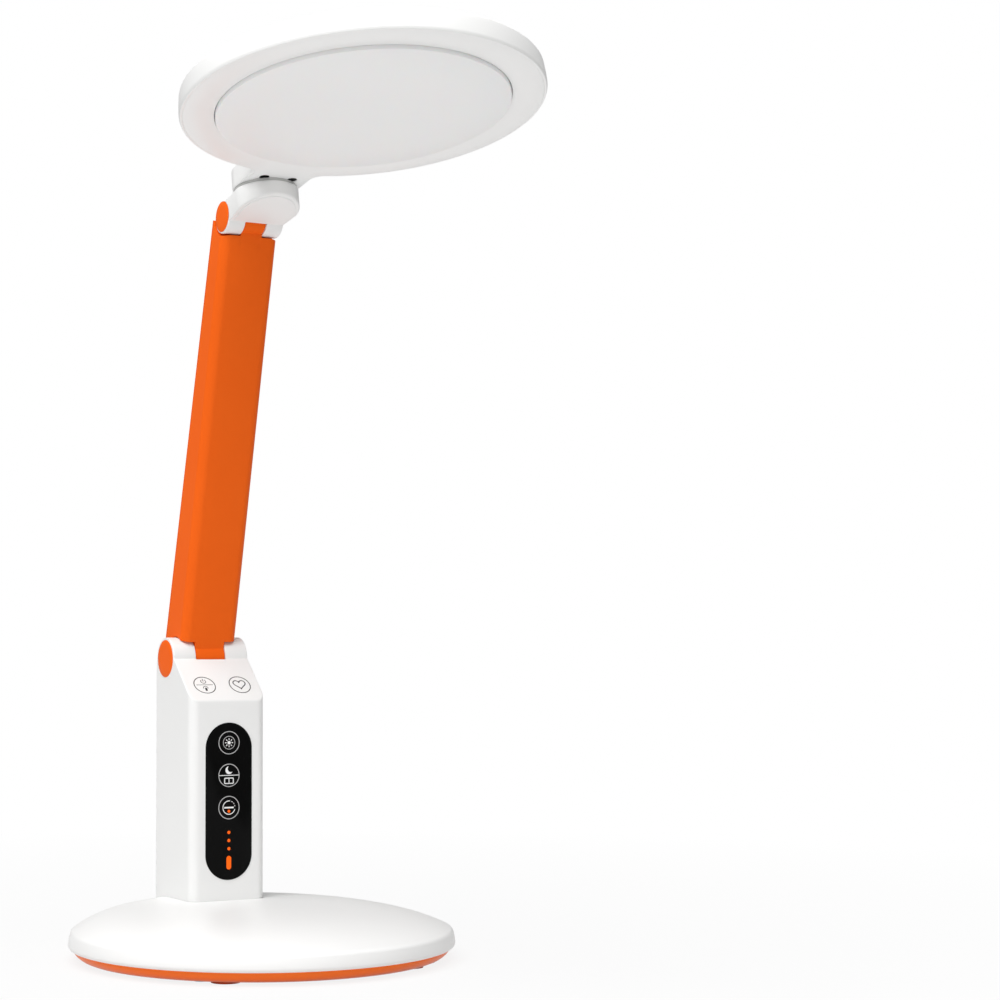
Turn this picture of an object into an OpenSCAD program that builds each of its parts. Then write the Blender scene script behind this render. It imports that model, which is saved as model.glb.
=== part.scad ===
// Desk lamp on a round weighted base: a box column with touch controls carries a folding arm,
// a tilting neck and a flat round head that swivels. Millimetres, +Z up, -Y is the front,
// the origin is the middle of the base where the rubber feet meet the desk.

/* [Base] */
// Widest diameter of the base cover
base_d = 180; // [164:1:200]
// Height of the rubber feet below the tray
foot_h = 1; // [0.6:0.1:2]
// Height of the seam between the tray and the cover
seam_z = 6; // [5.5:0.1:6.5]
// Height of the upper edge of the cover's band
rim_z = 13.5; // [13:0.1:16]
// Rise of the cover above the band
dome_h = 9.2; // [8:0.1:12]
// Thickness of the cover
cover_wall = 2.4; // [2:0.1:3]
// Distance of the steel counterweight's edge inside the base's edge
weight_margin = 16; // [16:0.5:20]

/* [Column] */
// Width of the column
column_w = 39.8; // [38:0.2:42]
// Depth of the column
column_d = 46; // [42:0.5:51]
// Distance of the column's back inside the base's rear edge
column_inset = 6.5; // [6:0.1:10]
// Height at which the key slope begins
slope_z = 118.6; // [116:0.2:119]
// Thickness of the column's walls
column_wall = 2.2; // [2:0.1:2.6]
// Radius of the column's upright edges
column_edge_r = 4.5; // [3:0.5:5]

/* [Controls] */
// Width of the control panel
panel_w = 24.6; // [22:0.2:26]
// Height of the control panel
panel_h = 75.6; // [74:0.2:78]
// Height of the middle of the control panel
panel_z = 70.2; // [69:0.2:71]
// Distance from one touch key to the next on the panel
key_pitch = 15.6; // [13:0.2:16]
// Sideways distance of each slope key from the middle
slope_key_x = 9.4; // [8:0.2:10]

/* [Lower hinge] */
// Height of the lower hinge axis
hinge_z = 138.8; // [138:0.2:141]
// Radius of the column's knuckles
knuckle_r = 10.4; // [10:0.1:10.8]
// Width of the arm's lower tongue
lower_tongue_w = 15; // [13:0.5:16]

/* [Arm] */
// Distance between the two hinge axes
arm_len = 218.5; // [200:0.5:240]
// Forward lean of the arm
arm_lean = 14.4; // [5:0.2:20]
// Width of the arm
arm_w = 29.4; // [28:0.2:30]
// Distance of the arm's front face ahead of the lower hinge axis
arm_front_low = 6.4; // [6:0.1:6.6]
// Distance of the arm's front face ahead of the upper hinge axis
arm_front_high = 3.3; // [3:0.1:4]
// Distance of the arm's back face behind the lower hinge axis
arm_back_low = 15.8; // [15:0.1:16.4]
// Distance of the arm's back face behind the upper hinge axis
arm_back_high = 11.4; // [11:0.1:12.5]
// Thickness of the arm's walls
arm_wall = 2; // [1.6:0.1:2.4]

/* [Neck] */
// Width of the neck at the swivel
neck_w = 31.4; // [31:0.2:32]
// Width of the neck across its knuckles
neck_back_w = 29; // [28.4:0.2:30]
// Distance from the upper hinge axis to the swivel axis
neck_len = 19.1; // [18.5:0.1:21]
// Height of the neck's flat top above the upper hinge axis
neck_top = 7.3; // [7.2:0.1:7.6]
// Radius of the neck's knuckles
neck_knuckle_r = 8.1; // [7.9:0.1:8.3]
// Width of the arm's upper tongue
upper_tongue_w = 10.6; // [9:0.2:12]

/* [Head] */
// Upward tilt of the head's front edge
head_tilt = 10; // [0:0.5:20]
// Distance from the swivel axis to the middle of the head
head_reach = 100; // [99:0.5:106]
// Widest diameter of the head
head_d = 161.6; // [158:0.1:166]
// Thickness of the head's casing
head_t = 9.8; // [9.4:0.1:11]
// Diameter of the diffuser
diffuser_d = 130; // [120:0.5:132]
// Distance that the diffuser stands out below the bezel
diffuser_drop = 1.8; // [1.2:0.1:2.4]
// Number of light-emitting diodes round the light guide
led_count = 36; // [24:1:48]

/* [Hidden] */
$fn = 64;

white = "#f4f4f2";
orange = "#ee6a1c";
steel = "#b9bcc0";
board_green = "#2f6b45";

// Clearances: between turning faces, round a shaft, and between seated pieces
turn_gap = 0.5;
bore_gap = 0.05;
seat_gap = 0.05;
// A little more than nothing, so that a cut passes its face
over = 0.1;

base_r = base_d / 2;
column_back = base_r - column_inset;
column_front = column_back - column_d;
rim_r = base_r - 0.9;
seam_r = base_r - 1.6;
band_z = seam_z + 1.5;
tray_floor = 2;
tray_top = foot_h + tray_floor;
tray_curve = 3.9;
tray_wall = 2.2;
tray_fillet = 1.2;
foot_r = 6.5;
foot_margin = 16;
foot_circle = base_r - foot_margin;
foot_angle = 52;
foot_sunk = 0.4;
base_screw_margin = 10;
base_screw_circle = base_r - base_screw_margin;
base_screw_r = 1.5;
base_screw_seat = 1.2;
base_boss_r = 3.8;
// The cover's highest part lies off the middle, under the column
apex_depth = 16.5;
apex_y = column_front + apex_depth;
dome_power = 5.3;
dome_rings = 9;
dome_segments = 72;

weight_r = base_r - weight_margin;
weight_t = 5.9;
weight_z = tray_top + seat_gap;
weight_top = weight_z + weight_t;
column_floor_z = weight_top + seat_gap;
column_floor = 2.5;
column_screw_x = 11;
column_screw_y = [column_front + column_d / 5, column_front + column_d * 3 / 5];
column_screw_r = 1.9;
column_screw_len = 15;
column_boss_r = 4.2;
column_boss_h = 9;
screw_head_h = 2.4;

hinge_inset = 4.1;
hinge_y = column_back - knuckle_r - hinge_inset;
crease_gap = 0.6;
crease_drop = 0.4;
crease_y = hinge_y - knuckle_r - crease_gap;
crease_z = hinge_z - crease_drop;
slope_angle = atan2(crease_z - slope_z, crease_y - column_front);
slope_key_up = 10.7;
key_r = 5.5;
// The column's back shoulder starts just inside the knuckle's round
shoulder_angle = 17;
shoulder_r = knuckle_r - 0.1;
shoulder_drop = 12;
shoulder_z = hinge_z - shoulder_drop;
lower_slot_w = lower_tongue_w + 2 * turn_gap;
lower_slot_r = knuckle_r + 0.2;
lower_tongue_r = knuckle_r - 0.6;
lower_bolt_r = 3;
lower_cap_r = knuckle_r - 1.2;
cap_depth = 1.9;
cap_proud = 0.3;
nut_depth = 3.4;
nut_h = 2.8;

rear_opening_w = column_w - 2 * column_edge_r - 1;
rear_opening_low = 24;
rear_opening_high = shoulder_z - 6;
rear_bar_h = 6;
rear_bar_d = 7;
rear_bar_z = [rear_opening_low + 6, rear_opening_high - 7];
rear_screw_r = 1.3;
rear_screw_seat = 1.2;
panel_recess = 1.4;
panel_proud = 0.3;
board_depth = 6;
board_y = column_front + board_depth;
board_t = 1.6;
board_w = rear_opening_w - 1;
board_h = 89;
board_below = 46;
board_z = panel_z - board_below;
board_post_r = 2;
board_post_in = 4;
slope_board_h = 10;
pad_t = 1.6;
first_key = 28.1;
key_z = [for (i = [0:2]) panel_z + first_key - i * key_pitch];
first_dot = 15;
dot_pitch = 3.9;
dot_z = [for (i = [0:2]) panel_z - first_dot - i * dot_pitch];
dot_r = 0.9;
bar_below = 29.5;
bar_z = panel_z - bar_below;
bar_h = 7.1;
bar_w = 2.5;
window_h = 23;
window_margin = 0.5;
window_z = (bar_z - bar_h / 2 + dot_z[0]) / 2 + window_margin;
cell_r = 9.2;
cell_h = 65;
holder_t = 3;
holder_w = 16;
holder_grip = 6;
holder_end = 2.5;
holder_back = column_back - column_wall - rear_bar_d - 2 * seat_gap;
cell_y = holder_back - holder_t - seat_gap - cell_r;
socket_above = 16;
socket_z = rear_opening_low + socket_above;
socket_w = 9.2;
socket_h = 3.4;
socket_len = 8.6;
charge_board_w = 18;
charge_board_d = 7;
charge_board_t = 1.2;

// Gaps between the arm's scooped ends and the knuckles
arm_gap_low = 1.5;
arm_gap_high = 0.8;
arm_foot_z = knuckle_r + arm_gap_low;
arm_top_z = arm_len - neck_knuckle_r - arm_gap_high;
// The arm's back reaches past its scooped ends, beside the knuckles
arm_tail_low = 4;
arm_tail_high = arm_len - 2.6;
arm_edge_r = 2.9;
arm_boss_r = 3;
arm_screw_in = 16;
arm_screw_z = [arm_foot_z + arm_screw_in, arm_top_z - arm_screw_in];
// The arm's depth tapers: its front and back faces lean towards each other
arm_front_slant = atan2(arm_front_low - arm_front_high, arm_len);
arm_back_slant = atan2(arm_back_low - arm_back_high, arm_len);
function arm_front_at(z) = arm_front_low + (arm_front_high - arm_front_low) * z / arm_len;
function arm_back_at(z) = arm_back_low + (arm_back_high - arm_back_low) * z / arm_len;
arm_cover_t = 2;
tongue_web_back = 7;
upper_tongue_r = neck_knuckle_r - 0.5;
upper_slot_w = upper_tongue_w + 0.7;
upper_slot_r = neck_knuckle_r + 0.2;
upper_bolt_r = 2.5;
upper_cap_r = neck_knuckle_r - 0.75;
upper_cap_depth = 1.7;

neck_r = neck_w / 2;
neck_back_r = neck_back_w / 2;
// The neck's underside falls towards the hinge from this height at its front end
neck_front_y = -neck_len - neck_r;
neck_front_z = 0.4;
neck_fall = 10;
neck_wall = 2.4;
neck_cover_t = 1.6;
neck_cover_inset = 1.9;
neck_cover_len = neck_r + neck_len - neck_knuckle_r + 1;
swivel_r = 5;
swivel_flange_r = swivel_r + 2.5;
neck_cavity_r = swivel_flange_r + 1.1;
swivel_gap = 1.1;

hinge_2 = [0, hinge_y - arm_len * sin(arm_lean), hinge_z + arm_len * cos(arm_lean)];
head_y = -neck_len - head_reach;
head_z = neck_top + swivel_gap;
head_r = head_d / 2;
head_wall = 2;
rim_w = 1.8;
rim_edge = 0.3;
head_top = 2.4;
bezel_r = head_r - rim_w;
bezel_t = 2.2;
bezel_step = 1;
ear_r = neck_r;
ear_fillet = 6;
// Depth of the fillets' touching circle inside the rim, so that the faces cross
ear_sink = 0.4;
ear_screw_r = 1.4;
ear_screw_head_r = 2.4;
ear_screw_seat = 1.2;
ear_screw_x = 7.2;
ear_screw_y = -neck_len - 14.1;
diffuser_r = diffuser_d / 2;
diffuser_groove = 0.75;
diffuser_t = 1.2;
flange_r = diffuser_r + 4.5;
flange_t = 0.8;
guide_r = diffuser_r + 3;
guide_z = bezel_t + seat_gap + flange_t + seat_gap;
guide_t = 2;
sheet_t = 0.3;
sheet_z = guide_z + guide_t + seat_gap;
plate_z = sheet_z + sheet_t + seat_gap;
plate_t = head_t - head_top - seat_gap - plate_z;
plate_r = bezel_r - 2;
strip_r = guide_r + 3.2;
plate_screw_r = 1.2;
plate_screw_circle = (strip_r + plate_r) / 2 + 0.5;

// Frames: the arm runs along its own +Z, the neck and head lie level in theirs
module in_arm() {
    translate([0, hinge_y, hinge_z]) rotate([arm_lean, 0, 0]) children();
}

module in_neck() {
    translate(hinge_2) rotate([-head_tilt, 0, 0]) children();
}

module in_head() {
    in_neck() translate([0, 0, head_z]) children();
}

// On the key slope: +Y runs up the slope and +Z leaves it
module on_slope() {
    translate([0, column_front, slope_z]) rotate([slope_angle, 0, 0]) children();
}

// On the neck's underside: +Y runs back towards the hinge and +Z goes into the neck
module on_underside() {
    translate([0, neck_front_y, neck_front_z]) rotate([-neck_fall, 0, 0]) children();
}

// A flat shape drawn in Y and Z, given a width across the lamp
module along_x(width) {
    rotate([90, 0, 90]) translate([0, 0, -width / 2]) linear_extrude(width) children();
}

// A round rod across the lamp from x0 to x1
module rod_x(radius, x0, x1) {
    translate([x0, 0, 0]) rotate([0, 90, 0]) cylinder(r = radius, h = x1 - x0);
}

// The same piece on the right and the left
module both_sides() {
    children();
    mirror([1, 0, 0]) children();
}

// A hexagon nut across the lamp from x0 to x1 over a bolt
module nut_x(flat_r, bore_r, x0, x1) {
    translate([x0, 0, 0]) rotate([0, 90, 0]) difference() {
        cylinder(r = flat_r, h = x1 - x0, $fn = 6);
        translate([0, 0, -over]) cylinder(r = bore_r, h = x1 - x0 + 2 * over);
    }
}

// An upright screw whose head starts at the origin
module screw(shaft_r, head_r, head_h, length) {
    cylinder(r = head_r, h = head_h);
    cylinder(r = shaft_r, h = length);
}

// A rectangle with round corners, centred sideways, from y = 0 to y = depth
module round_rect(width, depth, radius) {
    translate([-width / 2, radius]) square([width, depth - 2 * radius]);
    translate([-width / 2 + radius, 0]) square([width - 2 * radius, depth]);
    for (x = [-1, 1], y = [radius, depth - radius])
        translate([x * (width / 2 - radius), y]) circle(radius);
}

// A stadium standing along its own Y
module stadium(width, height) {
    for (side = [-1, 1]) translate([0, side * (height - width) / 2]) circle(width / 2);
    square([width, height - width], center = true);
}

// A stadium on an upright face: it starts at y and goes back by depth
module stadium_on_front(width, height, z, y, depth) {
    translate([0, y + depth, z]) rotate([90, 0, 0]) linear_extrude(depth) stadium(width, height);
}

// Positions of repeated fixings
module at_base_screws() {
    for (turn = [45:90:315]) rotate(turn) translate([base_screw_circle, 0, 0]) children();
}

module at_feet() {
    children();
    for (side = [0, 180], turn = [-foot_angle, foot_angle])
        rotate(side + turn) translate([foot_circle, 0, 0]) children();
}

module at_column_screws() {
    for (x = [-1, 1], y = column_screw_y) translate([x * column_screw_x, y, 0]) children();
}

module at_rear_screws() {
    for (z = rear_bar_z) translate([0, column_back, z]) rotate([90, 0, 0]) children();
}

module at_arm_back(z) {
    translate([0, arm_back_at(z), z]) rotate([90 + arm_back_slant, 0, 0]) children();
}

module at_arm_screws() {
    for (z = arm_screw_z) at_arm_back(z) children();
}

module at_plate_screws() {
    for (turn = [0:90:270]) translate([0, head_y, 0]) rotate(turn + 45)
        translate([plate_screw_circle, 0, 0]) children();
}

module at_ear_screws() {
    for (x = [-1, 1]) translate([x * ear_screw_x, ear_screw_y, 0]) children();
}

// The cover's domed form: circles that shrink towards an apex off the middle, drawn in by inset.
// The band below the dome is given as pairs of a radius and a height, from the bottom up.
function dome_share(i) = 1 - pow(i / dome_rings, 1.5) * 0.92;
function dome_ring(share, radius, z) = [
    for (j = [0:dome_segments - 1])
        let (a = 360 * j / dome_segments)
        [radius * share * cos(a), radius * share * sin(a) + apex_y * (1 - share), z]
];

module dome_form(inset, band) {
    rise = [for (i = [0:dome_rings])
        rim_z - inset + dome_h * (1 - pow(dome_share(i), dome_power))];
    points = concat(
        [for (b = band) each dome_ring(1, b[0], b[1])],
        [for (i = [0:dome_rings]) each dome_ring(dome_share(i), rim_r - inset, rise[i])]
    );
    last = len(band) + dome_rings;
    sides = [for (i = [0:last - 1], j = [0:dome_segments - 1])
        let (a = i * dome_segments, k = (j + 1) % dome_segments)
        [a + j, a + dome_segments + j, a + dome_segments + k, a + k]];
    foot = [for (j = [0:dome_segments - 1]) j];
    lid = [for (j = [dome_segments - 1:-1:0]) last * dome_segments + j];
    polyhedron(points, concat(sides, [foot], [lid]), convexity = 4);
}

module rubber_feet() {
    color("#2b2b2b") at_feet() cylinder(r = foot_r, h = foot_h + foot_sunk - seat_gap);
}

module base_tray() {
    color(orange) difference() {
        rotate_extrude($fn = 128) polygon(concat(
            [[0, foot_h]],
            [for (a = [0:15:90]) [seam_r - tray_curve * (1 - sin(a)), seam_z - (seam_z - foot_h) * cos(a)]],
            [[seam_r - tray_wall, seam_z], [seam_r - tray_wall, tray_top + tray_fillet],
                [seam_r - tray_wall - tray_fillet, tray_top], [0, tray_top]]
        ));
        at_feet() translate([0, 0, foot_h - over]) cylinder(r = foot_r + bore_gap, h = foot_sunk + over);
        at_base_screws() translate([0, 0, foot_h - over]) {
            cylinder(r = base_screw_r + bore_gap, h = tray_floor + 2 * over);
            cylinder(r = base_screw_r * 2 + bore_gap, h = base_screw_seat + over);
        }
    }
}

module base_screws() {
    color(steel) at_base_screws() translate([0, 0, foot_h + 0.1])
        screw(base_screw_r, base_screw_r * 2, 1.1, seam_z + 3.5);
}

module counterweight() {
    color(steel) difference() {
        translate([0, 0, weight_z]) cylinder(r = weight_r, h = weight_top - weight_z, $fn = 128);
        at_column_screws() translate([0, 0, weight_z - over]) {
            cylinder(r = column_screw_r + bore_gap, h = weight_top);
            cylinder(r = column_screw_r * 2, h = screw_head_h + 0.4);
        }
    }
}

module base_cover() {
    boss_z = tray_top + seat_gap;
    inner_r = rim_r - cover_wall;
    color(white) difference() {
        union() {
            difference() {
                dome_form(0, [[seam_r, seam_z + seat_gap], [base_r, band_z]]);
                dome_form(cover_wall, [[inner_r, seam_z - 1]]);
            }
            intersection() {
                at_base_screws() translate([0, 0, boss_z]) cylinder(r = base_boss_r, h = rim_z + dome_h);
                dome_form(cover_wall / 2, [[inner_r, boss_z - 1]]);
            }
        }
        translate([0, column_front - seat_gap, 0]) linear_extrude(rim_z + dome_h + over)
            round_rect(column_w + 2 * seat_gap, column_d + 2 * seat_gap, column_edge_r + seat_gap);
        at_base_screws() translate([0, 0, boss_z - over]) cylinder(r = base_screw_r, h = seam_z + 2);
    }
}

module column_screws() {
    color(steel) at_column_screws() translate([0, 0, weight_z + 0.3])
        screw(column_screw_r, column_screw_r * 2 - 0.2, screw_head_h, column_screw_len);
}

module column_side() {
    polygon([
        [column_front, column_floor_z],
        [column_front, slope_z],
        [crease_y, crease_z],
        [hinge_y, hinge_z],
        [hinge_y + shoulder_r * cos(shoulder_angle), hinge_z + shoulder_r * sin(shoulder_angle)],
        [column_back, shoulder_z],
        [column_back, column_floor_z]
    ]);
    translate([hinge_y, hinge_z]) circle(knuckle_r);
}

module column_cavity() {
    slope_drop = column_wall / cos(slope_angle);
    low_z = column_floor_z + column_floor;
    top_z = hinge_z - lower_slot_r - column_wall;
    front_y = column_front + column_wall;
    front_z = slope_z - slope_drop + column_wall * tan(slope_angle);
    pocket_z = hinge_z - 6.8;
    intersection() {
        translate([0, front_y, 0]) linear_extrude(hinge_z)
            round_rect(column_w - 2 * column_wall, column_d - 2 * column_wall, column_edge_r - column_wall);
        along_x(column_w) difference() {
            polygon([
                [front_y, low_z],
                [front_y, front_z],
                [front_y + (pocket_z - front_z) / tan(slope_angle), pocket_z],
                [hinge_y, pocket_z],
                [hinge_y, top_z],
                [column_back - 6, top_z],
                [column_back - column_wall, shoulder_z - 3],
                [column_back - column_wall, low_z]
            ]);
            translate([hinge_y, hinge_z]) circle(lower_slot_r + column_wall);
        }
    }
}

module rear_opening(gap) {
    translate([-rear_opening_w / 2 + gap, column_back - column_wall - over, rear_opening_low + gap])
        cube([rear_opening_w - 2 * gap, column_wall + 2 * over,
            rear_opening_high - rear_opening_low - 2 * gap]);
}

module column_shell() {
    inner_w = column_w - 2 * column_wall + over;
    inner_y = column_front + column_wall;
    color(white) difference() {
        union() {
            difference() {
                intersection() {
                    translate([0, column_front, 0]) linear_extrude(hinge_z + knuckle_r + 1)
                        round_rect(column_w, column_d, column_edge_r);
                    along_x(column_w + 2) column_side();
                }
                column_cavity();
                rear_opening(0);
            }
            for (z = rear_bar_z)
                translate([-inner_w / 2, holder_back + seat_gap, z - rear_bar_h / 2])
                    cube([inner_w, rear_bar_d, rear_bar_h]);
            at_column_screws() translate([0, 0, column_floor_z])
                cylinder(r = column_boss_r, h = column_boss_h);
            for (x = [-1, 1], z = [board_z + board_post_in, board_z + board_h - board_post_in])
                translate([x * (board_w / 2 - board_post_r), inner_y - over, z]) rotate([-90, 0, 0])
                    cylinder(r = board_post_r, h = board_y - inner_y - seat_gap + over);
        }
        stadium_on_front(panel_w + 2 * seat_gap, panel_h + 2 * seat_gap, panel_z, column_front - over,
            panel_recess + over);
        stadium_on_front(bar_w + 1 + window_margin, window_h + 2 * window_margin, window_z, column_front,
            column_wall + over);
        at_column_screws()
            cylinder(r = column_screw_r + bore_gap, h = column_floor_z + column_boss_h + over);
        at_rear_screws() cylinder(r = rear_screw_r, h = column_wall + rear_bar_d);
        translate([0, hinge_y, hinge_z]) {
            along_x(lower_slot_w) circle(lower_slot_r);
            rod_x(lower_bolt_r + bore_gap, -column_w, column_w);
            both_sides() {
                rod_x(lower_cap_r + bore_gap, column_w / 2 - cap_depth, column_w);
                rod_x(lower_bolt_r + 2.6, column_w / 2 - cap_depth - nut_depth, column_w);
            }
        }
    }
}

module column_rear_cover() {
    rib_w = 3;
    rib_d = 5;
    rib_x = 6.5;
    rib_low = rear_bar_z[0] + rear_bar_h / 2 + seat_gap;
    color(white) difference() {
        union() {
            intersection() {
                rear_opening(0.15);
                translate([-column_w, column_back - column_wall, 0])
                    cube([2 * column_w, column_wall, hinge_z]);
            }
            for (x = [-1, 1])
                translate([x * rib_x - rib_w / 2, column_back - column_wall - rib_d, rib_low])
                    cube([rib_w, rib_d + over, socket_z - socket_h - rib_low]);
        }
        stadium_on_side(socket_w + 0.4, socket_h + 0.4, socket_z);
        at_rear_screws() translate([0, 0, -over]) {
            cylinder(r = rear_screw_r + bore_gap, h = column_wall + 1);
            cylinder(r = rear_screw_r * 2 + 0.2, h = rear_screw_seat + over);
        }
    }
}

// The socket's mouth through the rear cover, lying flat
module stadium_on_side(width, height, z) {
    translate([0, column_back + over, z]) rotate([90, 90, 0])
        linear_extrude(column_wall + 2 * over) stadium(height, width);
}

module rear_cover_screws() {
    color(steel) at_rear_screws() translate([0, 0, 0.1]) screw(rear_screw_r, rear_screw_r * 2, 1, 6.5);
}

module control_panel() {
    color("#121212") difference() {
        stadium_on_front(panel_w, panel_h, panel_z, column_front - panel_proud,
            panel_proud + panel_recess - seat_gap);
        for (z = dot_z) translate([0, column_front + column_wall, z]) rotate([90, 0, 0])
            cylinder(r = dot_r + bore_gap, h = column_wall + 1);
        stadium_on_front(bar_w + 2 * bore_gap, bar_h + 2 * bore_gap, bar_z, column_front - 1,
            column_wall + 1);
    }
}

module indicator_window() {
    back_y = column_front + panel_recess + 0.4;
    color("#ff6a0a") {
        for (z = dot_z) translate([0, back_y, z]) rotate([90, 0, 0])
            cylinder(r = dot_r, h = back_y - column_front + panel_proud);
        stadium_on_front(bar_w, bar_h, bar_z, column_front - panel_proud,
            back_y - column_front + panel_proud);
        stadium_on_front(bar_w + 1, window_h, window_z, column_front + panel_recess,
            board_depth - panel_recess - seat_gap);
    }
}

module control_board() {
    color(board_green) translate([-board_w / 2, board_y, board_z]) cube([board_w, board_t, board_h]);
}

module touch_pads() {
    gap_y = board_y - column_front - column_wall;
    color("#c98a3a") {
        for (z = key_z) translate([0, column_front + column_wall + seat_gap, z]) rotate([-90, 0, 0])
            cylinder(r = key_r - 0.5, h = gap_y - 2 * seat_gap);
        on_slope() both_sides() translate([slope_key_x, slope_key_up, -column_wall - seat_gap - pad_t])
            cylinder(r = key_r - 1, h = pad_t);
    }
}

module slope_board() {
    low_z = -column_wall - 2 * seat_gap - pad_t - board_t;
    color(board_green) on_slope()
        translate([-board_w / 2, slope_key_up - slope_board_h / 2, low_z])
            cube([board_w, slope_board_h, board_t]);
}

module battery_cell() {
    color("#3f78b5") translate([0, cell_y, panel_z - cell_h / 2]) cylinder(r = cell_r, h = cell_h);
}

module battery_holder() {
    grip_y = cell_y - holder_grip;
    color("#2b2b2b") {
        translate([-holder_w / 2, holder_back - holder_t, rear_bar_z[0] - rear_bar_h / 2])
            cube([holder_w, holder_t, rear_bar_z[1] - rear_bar_z[0] + rear_bar_h]);
        for (z = [panel_z - cell_h / 2 - seat_gap - holder_end, panel_z + cell_h / 2 + seat_gap])
            translate([-holder_w / 2, grip_y, z]) cube([holder_w, holder_back - grip_y, holder_end]);
    }
}

module charge_board() {
    front_y = column_back - column_wall - charge_board_d;
    color(board_green) translate([-charge_board_w / 2, front_y, socket_z - socket_h + seat_gap])
        cube([charge_board_w, charge_board_d - seat_gap, charge_board_t]);
}

module charge_socket() {
    sheet = 0.4;
    pin_w = 6.4;
    leg_w = 7;
    color(steel) translate([0, column_back - sheet, socket_z]) rotate([90, 90, 0]) difference() {
        union() {
            linear_extrude(socket_len) stadium(socket_h, socket_w);
            translate([1, -leg_w / 2, column_wall])
                cube([socket_h - 1 - charge_board_t - 2 * seat_gap, leg_w, socket_len - column_wall - sheet]);
        }
        translate([0, 0, -over]) linear_extrude(socket_len - 1) difference() {
            stadium(socket_h - 2 * sheet, socket_w - 2 * sheet);
            square([0.7, pin_w], center = true);
        }
    }
}

module lower_hinge_bolt() {
    seat_x = column_w / 2 - cap_depth - nut_depth + seat_gap;
    color(steel) translate([0, hinge_y, hinge_z]) {
        rod_x(lower_bolt_r, -seat_x - nut_h, seat_x + over);
        rod_x(lower_bolt_r + 2.2, seat_x, seat_x + nut_h);
    }
}

module lower_hinge_nut() {
    seat_x = column_w / 2 - cap_depth - nut_depth + seat_gap;
    color(steel) translate([0, hinge_y, hinge_z])
        nut_x(lower_bolt_r + 2.2, lower_bolt_r + bore_gap, -seat_x - nut_h, -seat_x);
}

module lower_hinge_washers() {
    color("#8f9194") translate([0, hinge_y, hinge_z]) both_sides() difference() {
        rod_x(lower_bolt_r + 3.5, lower_tongue_w / 2 + seat_gap, lower_slot_w / 2 - seat_gap);
        rod_x(lower_bolt_r + bore_gap, 0, column_w);
    }
}

module lower_hinge_caps() {
    color(orange) translate([0, hinge_y, hinge_z]) both_sides()
        rod_x(lower_cap_r, column_w / 2 - cap_depth + seat_gap, column_w / 2 + cap_proud);
}

// The arm's tapered box with round upright edges from low_z to high_z, drawn in by inset
module arm_form(inset, low_z, high_z) {
    edge_r = arm_edge_r - inset;
    hull() for (z = [low_z, high_z - over], x = [-1, 1],
            y = [arm_edge_r - arm_front_at(z), arm_back_at(z) - arm_edge_r])
        translate([x * (arm_w / 2 - arm_edge_r), y, z]) cylinder(r = edge_r, h = over, $fn = 32);
}

// The arm's outer form with both ends scooped round the knuckles
module arm_outside() {
    difference() {
        arm_form(0, arm_tail_low, arm_tail_high);
        rod_x(arm_foot_z, -arm_w, arm_w);
        translate([0, 0, arm_len]) rod_x(arm_len - arm_top_z, -arm_w, arm_w);
    }
}

module arm_back_half(gap) {
    translate([0, arm_back_low - arm_cover_t - gap, 0]) rotate([arm_back_slant, 0, 0])
        translate([-arm_w, 0, 0]) cube([2 * arm_w, arm_back_low, arm_len]);
}

module arm_tongue(radius, width, z, web_z) {
    translate([0, 0, z]) rod_x(radius, -width / 2, width / 2);
    front = arm_front_at(web_z);
    translate([-width / 2, -front, min(z, web_z)]) cube([width, front + tongue_web_back, abs(web_z - z)]);
}

module arm_shell() {
    color(orange) in_arm() difference() {
        union() {
            difference() {
                arm_outside();
                arm_form(arm_wall, arm_foot_z + arm_wall, arm_top_z - arm_wall);
                arm_back_half(seat_gap);
            }
            arm_tongue(lower_tongue_r, lower_tongue_w, 0, arm_foot_z + arm_wall);
            arm_tongue(upper_tongue_r, upper_tongue_w, arm_len, arm_top_z - arm_wall);
            for (z = arm_screw_z) at_arm_back(z) translate([0, 0, arm_cover_t + seat_gap])
                cylinder(r = arm_boss_r, h = arm_front_at(z) + arm_back_at(z) - arm_cover_t - arm_wall / 2);
        }
        rod_x(lower_bolt_r + bore_gap, -arm_w, arm_w);
        translate([0, 0, arm_len]) rod_x(upper_bolt_r + bore_gap, -arm_w, arm_w);
        at_arm_screws() cylinder(r = rear_screw_r, h = 9);
    }
}

module arm_back_cover() {
    color(orange) in_arm() difference() {
        intersection() {
            arm_outside();
            arm_back_half(0);
        }
        at_arm_screws() translate([0, 0, -over]) {
            cylinder(r = rear_screw_r + bore_gap, h = arm_cover_t + 2 * over);
            cylinder(r = rear_screw_r * 2 + 0.2, h = rear_screw_seat + over);
        }
    }
}

module arm_screws() {
    color(steel) in_arm() at_arm_screws() translate([0, 0, 0.1])
        screw(rear_screw_r, rear_screw_r * 2, 1, 8);
}

module arm_cable() {
    cable_w = 4;
    cable_t = 1.6;
    cable_x = 4.5;
    low_z = arm_foot_z + arm_wall + 2 * seat_gap;
    color("#d8d8d6") in_arm()
        translate([cable_x, arm_wall - arm_front_at(low_z) + seat_gap, low_z])
            rotate([-arm_front_slant, 0, 0])
                cube([cable_w, cable_t, arm_top_z - arm_wall - low_z - 2 * over]);
}

module neck_plan() {
    translate([0, -neck_len]) circle(neck_r);
    polygon([
        [-neck_r, -neck_len],
        [neck_r, -neck_len],
        [neck_back_r, 0],
        [-neck_back_r, 0]
    ]);
}

// The neck between its flat top and its sloping underside, as far as the hinge axis
module neck_side() {
    fall = tan(neck_fall);
    polygon([
        [neck_front_y - 1, neck_top],
        [0, neck_top],
        [0, neck_front_z + neck_front_y * fall],
        [neck_front_y - 1, neck_front_z + fall]
    ]);
}

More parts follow.
